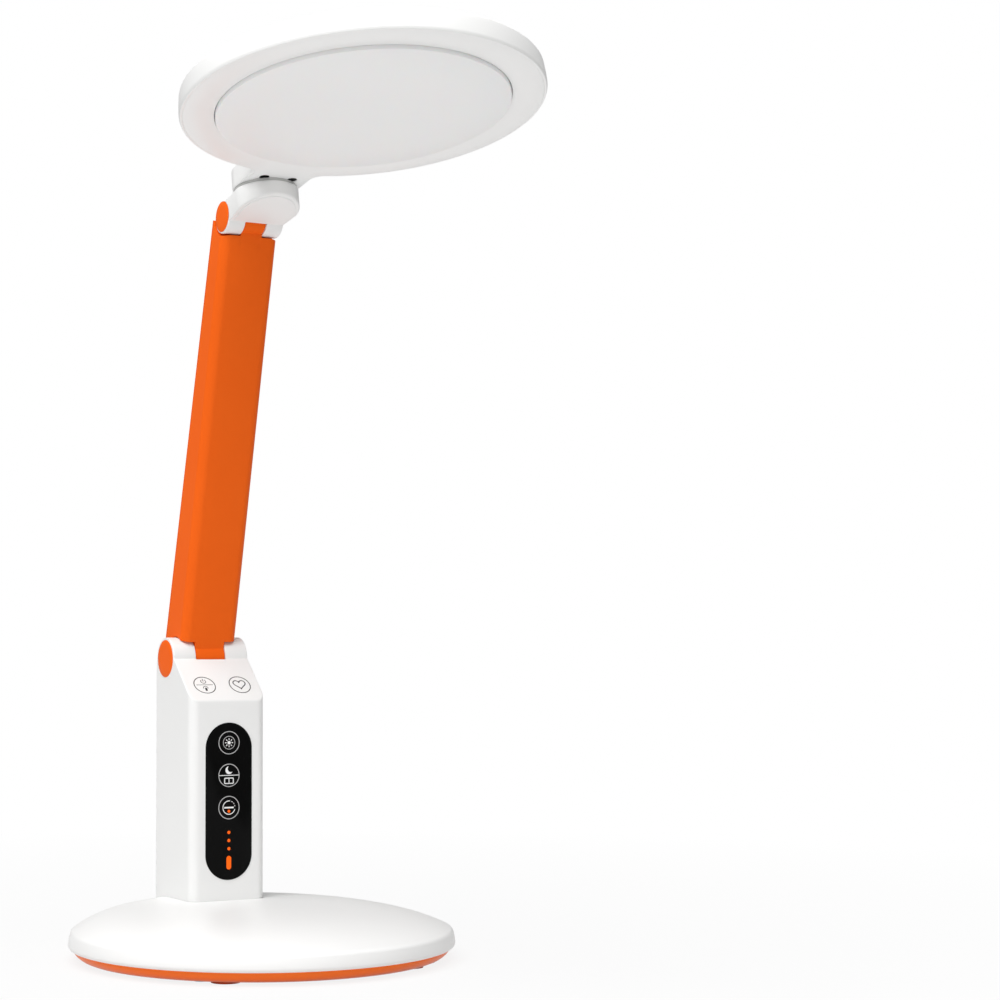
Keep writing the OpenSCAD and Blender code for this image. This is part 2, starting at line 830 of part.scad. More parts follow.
// A slab of the neck cover's outline, round at the front and straight at the back, drawn in by inset
module neck_cover_slab(inset, height) {
    intersection() {
        linear_extrude(height) {
            translate([0, neck_r]) circle(neck_r - inset);
            translate([-neck_back_r + inset, neck_r]) square([neck_back_w - 2 * inset, neck_len]);
        }
        translate([-neck_r, 0, 0]) cube([neck_w, neck_cover_len - inset, height]);
    }
}

module neck_body() {
    color(white) in_neck() difference() {
        union() {
            intersection() {
                translate([0, 0, -neck_knuckle_r]) linear_extrude(2 * neck_knuckle_r) neck_plan();
                along_x(neck_w + 2) neck_side();
            }
            rod_x(neck_knuckle_r, -neck_back_r, neck_back_r);
        }
        translate([0, -neck_len, -neck_knuckle_r])
            cylinder(r = neck_cavity_r, h = neck_knuckle_r + neck_top - neck_wall);
        on_underside() translate([0, 0, -1])
            neck_cover_slab(neck_cover_inset - seat_gap, neck_cover_t + seat_gap + 1);
        translate([0, -neck_len, 0]) cylinder(r = swivel_r + bore_gap, h = neck_top + over);
        along_x(upper_slot_w) circle(upper_slot_r);
        rod_x(upper_bolt_r + bore_gap, -neck_w, neck_w);
        both_sides() {
            rod_x(upper_cap_r + bore_gap, neck_back_r - upper_cap_depth, neck_w);
            rod_x(upper_bolt_r + 2.2, neck_back_r - upper_cap_depth - nut_depth, neck_w);
        }
    }
}

module neck_cover() {
    clip_h = 3;
    color(white) in_neck() {
        on_underside() neck_cover_slab(neck_cover_inset, neck_cover_t);
        intersection() {
            translate([0, -neck_len, -neck_knuckle_r])
                ring(neck_cavity_r - seat_gap, neck_cavity_r - 1.2, 2 * neck_knuckle_r);
            on_underside() translate([-neck_r, 0, 0])
                cube([neck_w, neck_cover_len - neck_cover_inset, clip_h]);
        }
    }
}

module upper_hinge_bolt() {
    seat_x = neck_back_r - upper_cap_depth - nut_depth + seat_gap;
    color(steel) in_neck() {
        rod_x(upper_bolt_r, -seat_x - nut_h, seat_x + over);
        rod_x(upper_bolt_r + 1.9, seat_x, seat_x + nut_h);
    }
}

module upper_hinge_nut() {
    seat_x = neck_back_r - upper_cap_depth - nut_depth + seat_gap;
    color(steel) in_neck() nut_x(upper_bolt_r + 1.9, upper_bolt_r + bore_gap, -seat_x - nut_h, -seat_x);
}

module upper_hinge_washers() {
    color("#8f9194") in_neck() both_sides() difference() {
        rod_x(upper_bolt_r + 3, upper_tongue_w / 2 + seat_gap, upper_slot_w / 2 - seat_gap);
        rod_x(upper_bolt_r + bore_gap, 0, neck_w);
    }
}

module upper_hinge_caps() {
    color(orange) in_neck() both_sides()
        rod_x(upper_cap_r, neck_back_r - upper_cap_depth + seat_gap, neck_back_r + cap_proud);
}

module at_swivel(z) {
    in_neck() translate([0, -neck_len, z]) children();
}

module ring(outer_r, inner_r, height) {
    difference() {
        cylinder(r = outer_r, h = height);
        translate([0, 0, -over]) cylinder(r = inner_r, h = height + 2 * over);
    }
}

module swivel_tube() {
    flange_t = 1.4;
    flange_z = neck_top - neck_wall - seat_gap - flange_t;
    top_z = head_z + head_t - head_top - 0.6;
    color(steel) at_swivel(flange_z) difference() {
        union() {
            cylinder(r = swivel_r, h = top_z - flange_z);
            cylinder(r = swivel_flange_r, h = flange_t);
        }
        translate([0, 0, -over]) cylinder(r = swivel_r - 1.6, h = top_z);
    }
}

module swivel_ring() {
    color("#3a3a3a") at_swivel(neck_top + seat_gap)
        ring(neck_r - 1.2, swivel_r + bore_gap, swivel_gap - 2 * seat_gap);
}

module swivel_washer() {
    color(steel) at_swivel(head_z + bezel_t + seat_gap) ring(swivel_r + 3, swivel_r + bore_gap, 0.6);
}

module swivel_nut() {
    color(steel) at_swivel(head_z + bezel_t + 2 * seat_gap + 0.6) difference() {
        cylinder(r = swivel_r + 3, h = 3, $fn = 6);
        translate([0, 0, -over]) cylinder(r = swivel_r + bore_gap, h = 4);
    }
}

// The ear behind the head's disc, drawn in by inset, with fillets into a disc of the given radius
module ear_plan(inset, disc_r) {
    half_w = ear_r - inset;
    fillet = ear_fillet + inset;
    fillet_x = half_w + fillet;
    fillet_y = sqrt(pow(disc_r + fillet, 2) - pow(fillet_x, 2));
    touch = disc_r / (disc_r + fillet);
    translate([0, -neck_len]) circle(half_w);
    translate([-half_w, head_y + disc_r - 20]) square([2 * half_w, head_reach - disc_r + 20]);
    both_sides() difference() {
        polygon([
            [0, head_y + fillet_y],
            [fillet_x, head_y + fillet_y],
            [fillet_x * touch, head_y + fillet_y * touch],
            [0, head_y + fillet_y * touch]
        ]);
        translate([fillet_x, head_y + fillet_y]) circle(fillet);
    }
}

module head_disc(radius, z0, z1) {
    translate([0, head_y, z0]) cylinder(r = radius, h = z1 - z0, $fn = 128);
}

module head_shell() {
    roof_z = head_t - head_top;
    color(white) in_head() difference() {
        union() {
            difference() {
                union() {
                    translate([0, head_y, 0]) rotate_extrude($fn = 128) polygon([
                        [0, 0],
                        [head_r - rim_edge, 0],
                        [head_r, rim_edge],
                        [head_r, head_t - rim_edge],
                        [head_r - rim_edge, head_t],
                        [0, head_t]
                    ]);
                    linear_extrude(head_t) ear_plan(0, head_r - ear_sink);
                }
                head_disc(bezel_r + seat_gap, -over, bezel_t + seat_gap);
                head_disc(bezel_r - bezel_step, 0, roof_z);
                translate([0, 0, -over]) linear_extrude(roof_z + over)
                    ear_plan(head_wall, bezel_r - bezel_step - ear_sink + seat_gap);
            }
            at_ear_screws() translate([0, 0, bezel_t + seat_gap]) cylinder(r = 3, h = roof_z - bezel_t);
        }
        at_ear_screws() cylinder(r = ear_screw_r, h = roof_z + 0.8);
        at_plate_screws() cylinder(r = plate_screw_r, h = head_t - 0.8);
    }
}

module head_bezel() {
    color(white) in_head() difference() {
        union() {
            head_disc(bezel_r, 0, bezel_t);
            linear_extrude(bezel_t) ear_plan(head_wall + seat_gap, bezel_r - bezel_step - ear_sink);
        }
        head_disc(diffuser_r + diffuser_groove, -over, bezel_t + over);
        translate([0, -neck_len, -over]) cylinder(r = swivel_r + bore_gap, h = bezel_t + 2 * over);
        at_ear_screws() translate([0, 0, -over]) {
            cylinder(r = ear_screw_r + bore_gap, h = bezel_t + 2 * over);
            cylinder(r = ear_screw_head_r + 2 * bore_gap, h = ear_screw_seat + over);
        }
    }
}

module diffuser() {
    color("#e8e8e6") in_head() difference() {
        union() {
            head_disc(diffuser_r, -diffuser_drop, bezel_t + seat_gap + over);
            head_disc(flange_r, bezel_t + seat_gap, bezel_t + seat_gap + flange_t);
        }
        head_disc(diffuser_r - diffuser_t, -diffuser_drop + diffuser_t, head_t);
    }
}

module light_guide() {
    color("#dfeef2") in_head() head_disc(guide_r, guide_z, guide_z + guide_t);
}

module reflector_sheet() {
    color("#fafafa") in_head() head_disc(guide_r, sheet_z, sheet_z + sheet_t);
}

module led_strip() {
    color(board_green) in_head() difference() {
        head_disc(strip_r + 0.6, guide_z, plate_z - seat_gap);
        head_disc(strip_r, guide_z - over, plate_z);
    }
}

module leds() {
    color("#f6e9b0") in_head() translate([0, head_y, guide_z + 0.2])
        for (i = [0:led_count - 1]) rotate(360 * i / led_count)
            translate([guide_r + 0.2, -1.5, 0]) cube([strip_r - guide_r - 0.3, 3, 1.6]);
}

module heat_plate() {
    color(steel) in_head() difference() {
        head_disc(plate_r, plate_z, plate_z + plate_t);
        at_plate_screws() translate([0, 0, plate_z - over])
            cylinder(r = plate_screw_r + bore_gap, h = plate_t + 2 * over);
    }
}

module plate_screws() {
    color(steel) in_head() at_plate_screws() translate([0, 0, plate_z - seat_gap - 1])
        screw(plate_screw_r, 2, 1, head_t - plate_z);
}

module ear_screws() {
    color("#151515") in_head() at_ear_screws() translate([0, 0, 0.3])
        screw(ear_screw_r, ear_screw_head_r, ear_screw_seat - 0.3, 6.5);
}

rubber_feet();
base_tray();
base_screws();
counterweight();
base_cover();
column_screws();
column_shell();
column_rear_cover();
rear_cover_screws();
control_panel();
indicator_window();
control_board();
touch_pads();
slope_board();
battery_cell();
battery_holder();
charge_board();
charge_socket();
lower_hinge_bolt();
lower_hinge_nut();
lower_hinge_washers();
lower_hinge_caps();
arm_shell();
arm_back_cover();
arm_screws();
arm_cable();
neck_body();
neck_cover();
upper_hinge_bolt();
upper_hinge_nut();
upper_hinge_washers();
upper_hinge_caps();
swivel_tube();
swivel_ring();
swivel_washer();
swivel_nut();
head_shell();
head_bezel();
diffuser();
light_guide();
reflector_sheet();
led_strip();
leds();
heat_plate();
plate_screws();
ear_screws();
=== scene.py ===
import math

import bmesh
import bpy
import numpy as np
from mathutils import Matrix, Vector


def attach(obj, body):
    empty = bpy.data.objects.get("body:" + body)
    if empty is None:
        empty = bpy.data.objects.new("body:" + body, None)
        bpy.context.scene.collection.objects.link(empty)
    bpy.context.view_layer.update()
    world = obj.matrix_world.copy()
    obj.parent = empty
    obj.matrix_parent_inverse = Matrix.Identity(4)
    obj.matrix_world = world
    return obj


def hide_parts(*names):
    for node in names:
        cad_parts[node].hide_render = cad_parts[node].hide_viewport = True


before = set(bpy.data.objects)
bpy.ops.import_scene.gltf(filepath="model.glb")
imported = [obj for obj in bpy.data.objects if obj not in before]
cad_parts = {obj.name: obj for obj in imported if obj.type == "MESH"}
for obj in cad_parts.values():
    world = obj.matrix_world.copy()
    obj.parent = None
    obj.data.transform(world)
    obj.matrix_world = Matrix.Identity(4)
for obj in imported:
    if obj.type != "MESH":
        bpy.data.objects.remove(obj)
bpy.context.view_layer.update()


# BASE TRAY
# The orange dish under the lamp, injection-moulded in ABS with a smooth half-gloss surface. Its wall slants in
# towards the desk, and four screws from below, in round seats, hold the white cover on it.
def linear(code):
    """Linear RGBA of an sRGB hex colour."""
    srgb = np.array([int(code[i:i + 2], 16) for i in (1, 3, 5)]) / 255
    return (*np.where(srgb <= 0.04045, srgb / 12.92, ((srgb + 0.055) / 1.055) ** 2.4), 1.0)


def add(tree, kind, links=None, **settings):
    """One shader node: a setting is an attribute or an input's value, a link joins an input to an output."""
    node = tree.nodes.new(kind)
    for key, value in settings.items():
        if key in node.bl_rna.properties:
            setattr(node, key, value)
        else:
            node.inputs[key.replace("_", " ")].default_value = value
    for key, output in (links or {}).items():
        tree.links.new(output, node.inputs[key])
    return node


def new_material(name, **sockets):
    """A Principled material with the given socket values, its node tree and its shader node."""
    material = bpy.data.materials.new(name)
    material.use_nodes = True
    shader = material.node_tree.nodes["Principled BSDF"]
    for key, value in sockets.items():
        shader.inputs[key.replace("_", " ")].default_value = value
    return material, material.node_tree, shader


def moulded_plastic(name, colour, shade, roughness, grain_mm, mottle_mm=35.0, shine=0.5):
    """Moulded plastic: a grain of tiny pits from the tool's surface, and a faint slow change of colour and gloss
    where the melt flowed."""
    gloss_spread, pit_strength, pit_depth = 0.05, 0.12, grain_mm * 1e-4
    material, tree, shader = new_material(name, IOR=1.53, Specular_IOR_Level=shine)
    place = add(tree, "ShaderNodeTexCoord").outputs["Object"]
    flow = add(tree, "ShaderNodeTexNoise", {"Vector": place}, Scale=1000 / mottle_mm, Detail=2.0)
    grain = add(tree, "ShaderNodeTexNoise", {"Vector": place}, Scale=1000 / grain_mm, Detail=1.0)
    tone = add(tree, "ShaderNodeMix", {"Factor": flow.outputs["Fac"]}, data_type="RGBA",
               A=linear(colour), B=linear(shade))
    gloss = add(tree, "ShaderNodeMapRange", {"Value": grain.outputs["Fac"]},
                To_Min=roughness - gloss_spread, To_Max=roughness + gloss_spread)
    pits = add(tree, "ShaderNodeBump", {"Height": grain.outputs["Fac"]}, Strength=pit_strength, Distance=pit_depth)
    tree.links.new(tone.outputs["Result"], shader.inputs["Base Color"])
    tree.links.new(gloss.outputs["Result"], shader.inputs["Roughness"])
    tree.links.new(pits.outputs["Normal"], shader.inputs["Normal"])
    return material


def turned(profile, steps):
    """Rings of a lathe shape: each radius and height of the profile goes once round the z axis."""
    radius, height = np.asarray(profile, float).T
    turn = np.linspace(0, 2 * np.pi, steps, endpoint=False)
    return np.stack(np.broadcast_arrays(
        radius[:, None] * np.cos(turn), radius[:, None] * np.sin(turn), height[:, None]), -1)


crease = math.radians(32)


def skin(name, strips, material):
    """An object from strips of closed rings, in millimetres: quads join neighbouring rings. An open strip is
    closed by a face over each end, and a looped one joins its last ring to its first."""
    points, faces, start = [], [], 0
    for rings, looped in strips:
        rows, cols = rings.shape[:2]
        i, j = np.arange(rows if looped else rows - 1)[:, None], np.arange(cols)[None, :]
        here, there, following = i * cols, (i + 1) % rows * cols, (j + 1) % cols
        quads = np.stack(np.broadcast_arrays(
            here + j, here + following, there + following, there + j), -1)
        faces += (quads.reshape(-1, 4) + start).tolist()
        if not looped:
            faces += [list(range(first, first + cols)) for first in (start, start + (rows - 1) * cols)]
        points.append(rings.reshape(-1, 3))
        start += rows * cols
    mesh = bpy.data.meshes.new(name)
    mesh.from_pydata((np.concatenate(points) / 1000).tolist(), [], faces)
    solid = bmesh.new()
    solid.from_mesh(mesh)
    bmesh.ops.remove_doubles(solid, verts=solid.verts, dist=1e-7)
    bmesh.ops.dissolve_degenerate(solid, edges=solid.edges, dist=1e-7)
    bmesh.ops.recalc_face_normals(solid, faces=solid.faces)
    solid.to_mesh(mesh)
    solid.free()
    mesh.shade_smooth()
    mesh.set_sharp_from_angle(angle=crease)
    mesh.materials.append(material)
    piece = bpy.data.objects.new(name, mesh)
    bpy.context.scene.collection.objects.link(piece)
    return piece


def carve(piece, rings):
    """Takes the solid between the rings away from the piece."""
    tool = skin("cutter", [(rings, False)], piece.data.materials[0])
    cut = piece.modifiers.new("cut", "BOOLEAN")
    cut.object, cut.solver, cut.operation = tool, "EXACT", "DIFFERENCE"
    result = bpy.data.meshes.new_from_object(piece.evaluated_get(bpy.context.evaluated_depsgraph_get()))
    piece.modifiers.remove(cut)
    spare, piece.data = piece.data, result
    bpy.data.meshes.remove(spare)
    bpy.data.objects.remove(tool)
    result.set_sharp_from_angle(angle=crease)


tray_low, tray_floor, tray_rim = 1.0, 3.0, 6.0
seat_r, seat_bore, seat_depth, screw_circle = 3.05, 1.55, 1.2, 80.0
# A strong orange with hardly any highlight, so that the strip under the white band keeps its colour.
glossy_orange = moulded_plastic("orange gloss ABS", "#FF7A2E", "#FC7428", 0.35, 0.5, shine=0.08)
profile = [(0, tray_low), (80.2, tray_low), (81.4, 1.06), (82.6, 1.28), (84.2, 1.9), (85.3, 2.6), (86.3, 3.45),
           (87.2, 4.5), (87.8, 5.5), (87.9, tray_rim), (85.9, tray_rim), (85.9, 4.4), (85.2, 3.6),
           (84.0, tray_floor), (0, tray_floor)]
tray = skin("base_tray_moulding", [(turned(profile, 256), False)], glossy_orange)
seat_top = tray_low + seat_depth
seat = turned([(0, tray_low - 1), (seat_r, tray_low - 1), (seat_r, seat_top), (seat_bore, seat_top),
               (seat_bore, tray_floor + 1), (0, tray_floor + 1)], 48)
for angle in np.radians([45, 135, 225, 315]):
    carve(tray, seat + [screw_circle * math.cos(angle), screw_circle * math.sin(angle), 0])
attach(tray, "base")
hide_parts("base_tray")


# BASE FEET, SCREWS AND WEIGHT
# Soft orange silicone pads glued into shallow seats, zinc-plated steel screws, and inside the base a counterweight
# cut from rolled steel plate.
def dress(material, *names):
    """Gives CAD nodes a material in place of their plain one."""
    for name in names:
        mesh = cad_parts[name].data
        mesh.materials.clear()
        mesh.materials.append(material)


# Matt orange with a dusty bloom.
dust_mm, pore_depth = 1.2, 0.0001
rubber, tree, shader = new_material("orange silicone rubber", Roughness=0.85, IOR=1.52)
place = add(tree, "ShaderNodeTexCoord").outputs["Object"]
dust = add(tree, "ShaderNodeTexNoise", {"Vector": place}, Scale=1000 / dust_mm, Detail=3.0)
tone = add(tree, "ShaderNodeMix", {"Factor": dust.outputs["Fac"]}, data_type="RGBA",
           A=linear("#F0682A"), B=linear("#E66024"))
pores = add(tree, "ShaderNodeBump", {"Height": dust.outputs["Fac"]}, Strength=0.3, Distance=pore_depth)
tree.links.new(tone.outputs["Result"], shader.inputs["Base Color"])
tree.links.new(pores.outputs["Normal"], shader.inputs["Normal"])
dress(rubber, "rubber_feet")


def bare_metal(name, colour, shade, roughness, scratch_mm):
    """Machined or plated metal: fine streaks along x change its tone and its gloss."""
    gloss_spread, stretch = 0.07, (0.08, 1.0, 1.0)
    material, tree, shader = new_material(name, Metallic=1.0)
    place = add(tree, "ShaderNodeTexCoord").outputs["Object"]
    drawn = add(tree, "ShaderNodeMapping", {"Vector": place}, Scale=stretch)
    streak = add(tree, "ShaderNodeTexNoise", {"Vector": drawn.outputs["Vector"]},
                 Scale=1000 / scratch_mm, Detail=3.0)
    tone = add(tree, "ShaderNodeMix", {"Factor": streak.outputs["Fac"]}, data_type="RGBA",
               A=linear(colour), B=linear(shade))
    gloss = add(tree, "ShaderNodeMapRange", {"Value": streak.outputs["Fac"]},
                To_Min=roughness - gloss_spread, To_Max=roughness + gloss_spread)
    tree.links.new(tone.outputs["Result"], shader.inputs["Base Color"])
    tree.links.new(gloss.outputs["Result"], shader.inputs["Roughness"])
    return material


# Pale bluish plating with fine streaks, and a darker, duller plate.
zinc_steel = bare_metal("zinc-plated steel", "#B9BDC2", "#A4A8AD", 0.32, 0.4)
plain_steel = bare_metal("rolled mild steel", "#8B8E92", "#77797D", 0.45, 0.8)
dress(zinc_steel, "base_screws", "column_screws")
dress(plain_steel, "counterweight")

# BASE COVER
# The white disc of the base, moulded in ABS 2.4 mm thick. A low dome, highest under the column, runs out to a soft
# rim and an upright band; the column comes up through a hole in it.
rim_r, seam_z, rim_z = 89.1, 6.05, 13.5
dome_h, apex_y, dome_power = 9.2, 54.0, 5.3
cover_wall, inner_r, rim_soft, rim_out, rim_drop = 2.4, 86.7, 1.6, 0.22, 1.6
column_w, column_d, column_front, column_edge, column_gap = 39.8, 46.0, 37.5, 4.5, 0.2
# White with broad soft highlights, and a grain that shows only close by.
white_abs = moulded_plastic("white satin ABS", "#F2F2F1", "#EFEFEE", 0.4, 0.5)


def soften(corners, cut, steps=6):
    """A closed outline with round corners: each corner gives way to a quadratic curve that starts and ends
    a cut's length from it."""
    corner = np.asarray(corners, float)
    cut = np.broadcast_to(cut, len(corner))[:, None]
    back, on = np.roll(corner, 1, 0) - corner, np.roll(corner, -1, 0) - corner
    start = corner + back / np.linalg.norm(back, axis=1, keepdims=True) * cut
    end = corner + on / np.linalg.norm(on, axis=1, keepdims=True) * cut
    w = np.linspace(0, 1, steps)[None, :, None]
    curve = (1 - w) ** 2 * start[:, None] + 2 * w * (1 - w) * corner[:, None] + w ** 2 * end[:, None]
    return curve.reshape(-1, corner.shape[1])


def dome_z(plan):
    """Height of the dome: its rings shrink towards the apex, and a ring with a share s of the rim's radius lies
    1 - s to the dome's power of the way up. The share solves a quadratic in x and y."""
    x, y = plan[..., 0], plan[..., 1] - apex_y
    k = rim_r ** 2 - apex_y ** 2
    share = (apex_y * y + np.sqrt((apex_y * y) ** 2 + k * (x * x + y * y))) / k
    return rim_z + dome_h * (1 - share ** dome_power)


def raised(plan, height):
    """A ring in plan set at a height, or at a height for each of its points."""
    return np.concatenate([plan, np.broadcast_to(height, plan.shape[:-1])[..., None]], -1)


turn = np.linspace(0, 2 * np.pi, 320, endpoint=False)
way = np.stack([np.cos(turn), np.sin(turn)], -1)
hole_half = np.array([column_w, column_d]) / 2 + column_gap
hole_edge = soften(hole_half * [[-1, -1], [1, -1], [1, 1], [-1, 1]], column_edge, 14)
sides = (np.roll(hole_edge, -1, axis=0) - hole_edge)[:, None] * np.linspace(0, 1, 40, endpoint=False)[:, None]
hole_edge = (hole_edge[:, None] + sides).reshape(-1, 2)
hole_reach = np.interp(turn, np.arctan2(hole_edge[:, 1], hole_edge[:, 0]), np.hypot(*hole_edge.T),
                       period=2 * np.pi)
hole = hole_reach[:, None] * way + [0, column_front + column_d / 2]
rim = rim_r * way
band = [raised(r * way, z) for r, z in [
    (inner_r, seam_z), (88.0, seam_z), (88.5, seam_z + 0.02), (89.2, 6.3), (89.65, 6.75), (89.92, 7.3),
    (90.0, 8.0), (89.75, 9.8), (89.5, 11.2)]]
begin = rim_soft / np.linalg.norm(hole - rim, axis=1)[:, None]
dome_start = rim + begin * (hole - rim)
low, corner = raised((rim_r + rim_out) * way, rim_z - rim_drop), raised(rim, rim_z)
high = raised(dome_start, dome_z(dome_start))
w = np.linspace(0, 1, 8)[:, None, None]
edge = (1 - w) ** 2 * low + 2 * w * (1 - w) * corner + w ** 2 * high
inwards = np.linspace(0, 1, 44)[1:, None, None] ** 1.5
top = dome_start + inwards * (hole - dome_start)
inside = hole + np.linspace(0, 1, 20)[:, None, None] * (inner_r * way - hole)
rings = np.concatenate([band, edge, raised(top, dome_z(top)), raised(inside, dome_z(inside) - cover_wall)])
cover = skin("base_cover_moulding", [(rings, True)], white_abs)
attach(cover, "base")
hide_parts("base_cover")

# COLUMN
# The upright box with the controls, moulded in white ABS. Its front breaks into a slope for two keys, and its top
# ends in two round knuckles with a slot between them for the arm's tongue; its back is open for a rear cover.
slope_z, crease_y, crease_z = 118.6, 58.0, 138.4
hinge_y, hinge_z, knuckle_r = 69.0, 138.8, 10.4
slot_half, slot_r, flank_x = 8.0, 10.6, 14.6
slot_begin, slot_end, knuckle_end = 3, 180, 170
shoulder_y, shoulder_top, shoulder_z, column_low, column_back = 79.24, 140.6, 126.8, 9.0, 83.5
slope_soft, edge_soft, column_middle = 0.9, 0.5, [0, 62.0, 90.0]
rear_half, rear_low, rear_high, rear_in, rear_out = 14.5, 24.0, 120.8, 71.0, 84.5


def flat_ends(rings, middle, share=0.985):
    """The rings with a drawn-in copy before the first and after the last, so that the flat ends shade flat."""
    first, last = (middle + (ring - middle) * [1, share, share] for ring in (rings[0], rings[-1]))
    return np.concatenate([[first], rings, [last]])


def column_ring(x, slotted):
    """Side outline of the column at a distance x from its middle: up the front, over a soft corner, up the slope,
    over the knuckle or through the slot, down the shoulder and the back. The round upright edges draw it in, and
    a small round draws its top in at the sides and beside the slot."""
    drawn, end, beside = (radius - math.sqrt(radius ** 2 - min(max(into, 0), radius) ** 2) for radius, into in [
        (column_edge, abs(x) - column_w / 2 + column_edge), (edge_soft, abs(x) - column_w / 2 + edge_soft),
        (edge_soft, slot_half + edge_soft - abs(x))])
    front, back = column_front + drawn, column_back - drawn
    rise = (crease_z - slope_z) / (crease_y - column_front)
    corner = np.array([front, slope_z + drawn * rise])
    on = np.array([1, rise]) / math.hypot(1, rise)
    w = np.linspace(0, 1, 9)[:, None]
    bend = corner - (1 - w) ** 2 * [0, slope_soft] + w ** 2 * on * slope_soft
    slope = bend[-1] + np.linspace(0, 1, 6)[1:, None] * ([crease_y, crease_z] - bend[-1])
    if slotted:
        radius, way_up, first, last = slot_r, -1, slot_begin, slot_end
    else:
        radius, way_up, first, last = knuckle_r - beside, 1, 0, knuckle_end
    arc = np.radians(np.linspace(first, last, 61))[:, None]
    over = [hinge_y, hinge_z] + radius * np.concatenate([-np.cos(arc), way_up * np.sin(arc)], 1)
    down = np.linspace(over[-1, 0] + 0.1, column_back, 6)
    down = np.stack([down, np.interp(down, [shoulder_y, column_back], [shoulder_top, shoulder_z])], 1)
    top = np.concatenate([bend, slope, over, down])
    run = np.gradient(top, axis=0)
    top += end * np.stack([run[:, 1], -run[:, 0]], 1) / np.linalg.norm(run, axis=1, keepdims=True)
    side = np.concatenate([[[front, column_low]], top, [[back, column_low]]])
    side[:, 0] = np.clip(side[:, 0], front, back)
    return np.insert(side, 0, x, axis=1)


edge_x = column_w / 2 - column_edge + column_edge * np.sin(np.linspace(0, np.pi / 2, 18))
slot_x = slot_half + edge_soft * (1 - np.cos(np.linspace(0, np.pi / 2, 6)))
right_x = [*slot_x, flank_x, *edge_x]
rings = np.stack([column_ring(-x, False) for x in right_x[::-1]] + [column_ring(-slot_half, True)]
                 + [column_ring(slot_half, True)] + [column_ring(x, False) for x in right_x])
column = skin("column_moulding", [(flat_ends(rings, column_middle), False)], white_abs)
opening = np.array([[-rear_half, rear_low], [rear_half, rear_low],
                    [rear_half, rear_high], [-rear_half, rear_high]])
carve(column, np.stack([np.insert(opening, 1, depth, axis=1) for depth in (rear_in, rear_out)]))
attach(column, "base")
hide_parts("column_shell")
dress(white_abs, "column_rear_cover")
dress(zinc_steel, "rear_cover_screws")

# CONTROL PANEL
# A black acrylic stadium, laser-cut with its edge broken, polished, and glued into a recess in the column's front
# so that it stands 0.3 mm proud.
panel_w, panel_h, panel_z, panel_face, haze_mm = 24.6, 75.6, 70.2, 37.2, 6.0
# Deep black with sharp faint reflections, dulled a little by wiping.
acrylic, tree, shader = new_material("black polished acrylic", IOR=1.49, Specular_IOR_Level=0.06)
place = add(tree, "ShaderNodeTexCoord").outputs["Object"]
haze = add(tree, "ShaderNodeTexNoise", {"Vector": place}, Scale=1000 / haze_mm, Detail=4.0)
tone = add(tree, "ShaderNodeMix", {"Factor": haze.outputs["Fac"]}, data_type="RGBA",
           A=linear("#070707"), B=linear("#0C0C0C"))
gloss = add(tree, "ShaderNodeMapRange", {"Value": haze.outputs["Fac"]}, To_Min=0.12, To_Max=0.22)
tree.links.new(tone.outputs["Result"], shader.inputs["Base Color"])
tree.links.new(gloss.outputs["Result"], shader.inputs["Roughness"])


def stadium(width, height, steps=48):
    """Outline of an upright stadium round the origin, and the way out of it at each point."""
    turn = np.linspace(0, 2 * np.pi, 2 * steps, endpoint=False) + np.pi / (2 * steps)
    out = np.stack([np.cos(turn), np.sin(turn)], -1)
    return out * width / 2 + np.sign(out[:, 1:]) * [0, (height - width) / 2], out


def on_front(plan, height):
    """Points drawn on the panel, x sideways and y up from its middle, standing out of it by a height."""
    plan = np.asarray(plan, float)
    return np.stack(np.broadcast_arrays(plan[..., 0], panel_face - height, plan[..., 1] + panel_z), -1)


outline, out = stadium(panel_w, panel_h)
rings = np.stack([on_front(outline - out * inset, height) for inset, height in
                  [(0, -1.3), (0, -0.25), (0.08, -0.1), (0.25, 0)]])
panel = skin("control_panel_acrylic", [(rings, False)], acrylic)
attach(panel, "base")
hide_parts("control_panel")

# PANEL SYMBOLS
# Thin white and light grey screen print on the acrylic: three ringed touch keys, with a sun, a moon over a book,
# and a dial.
print_t, ink_mm = 0.03, 0.3
key_r, key_line, key_up = 5.4, 0.38, [28.1, 12.4, -3.1]
hair_line, thin_line, plain_line, ray_line, book_line, bar_line = 0.3, 0.36, 0.4, 0.42, 0.5, 0.75
sun_r, sun_ring, ray_reach = 0.85, 3.1, [1.3, 2.15]
book_half, book_low, book_top, book_soft = 2.3, 3.9, 1.35, 0.4
dial_r, dial_half, tick_half = 3.2, 2.5, 6


def printed_ink(name, colour, shade):
    """Screen ink: the printing mesh leaves a fine unevenness of tone."""
    material, tree, shader = new_material(name, Roughness=0.5)
    place = add(tree, "ShaderNodeTexCoord").outputs["Object"]
    mesh_mark = add(tree, "ShaderNodeTexNoise", {"Vector": place}, Scale=1000 / ink_mm, Detail=1.0)
    tone = add(tree, "ShaderNodeMix", {"Factor": mesh_mark.outputs["Fac"]}, data_type="RGBA",
               A=linear(colour), B=linear(shade))
    tree.links.new(tone.outputs["Result"], shader.inputs["Base Color"])
    return material


# Quiet grey rings, and symbols that stand out bright on the black.
ring_ink = printed_ink("light grey screen ink", "#B0B0B0", "#BCBCBC")
symbol_ink = printed_ink("white screen ink", "#ECECEC", "#F4F4F4")


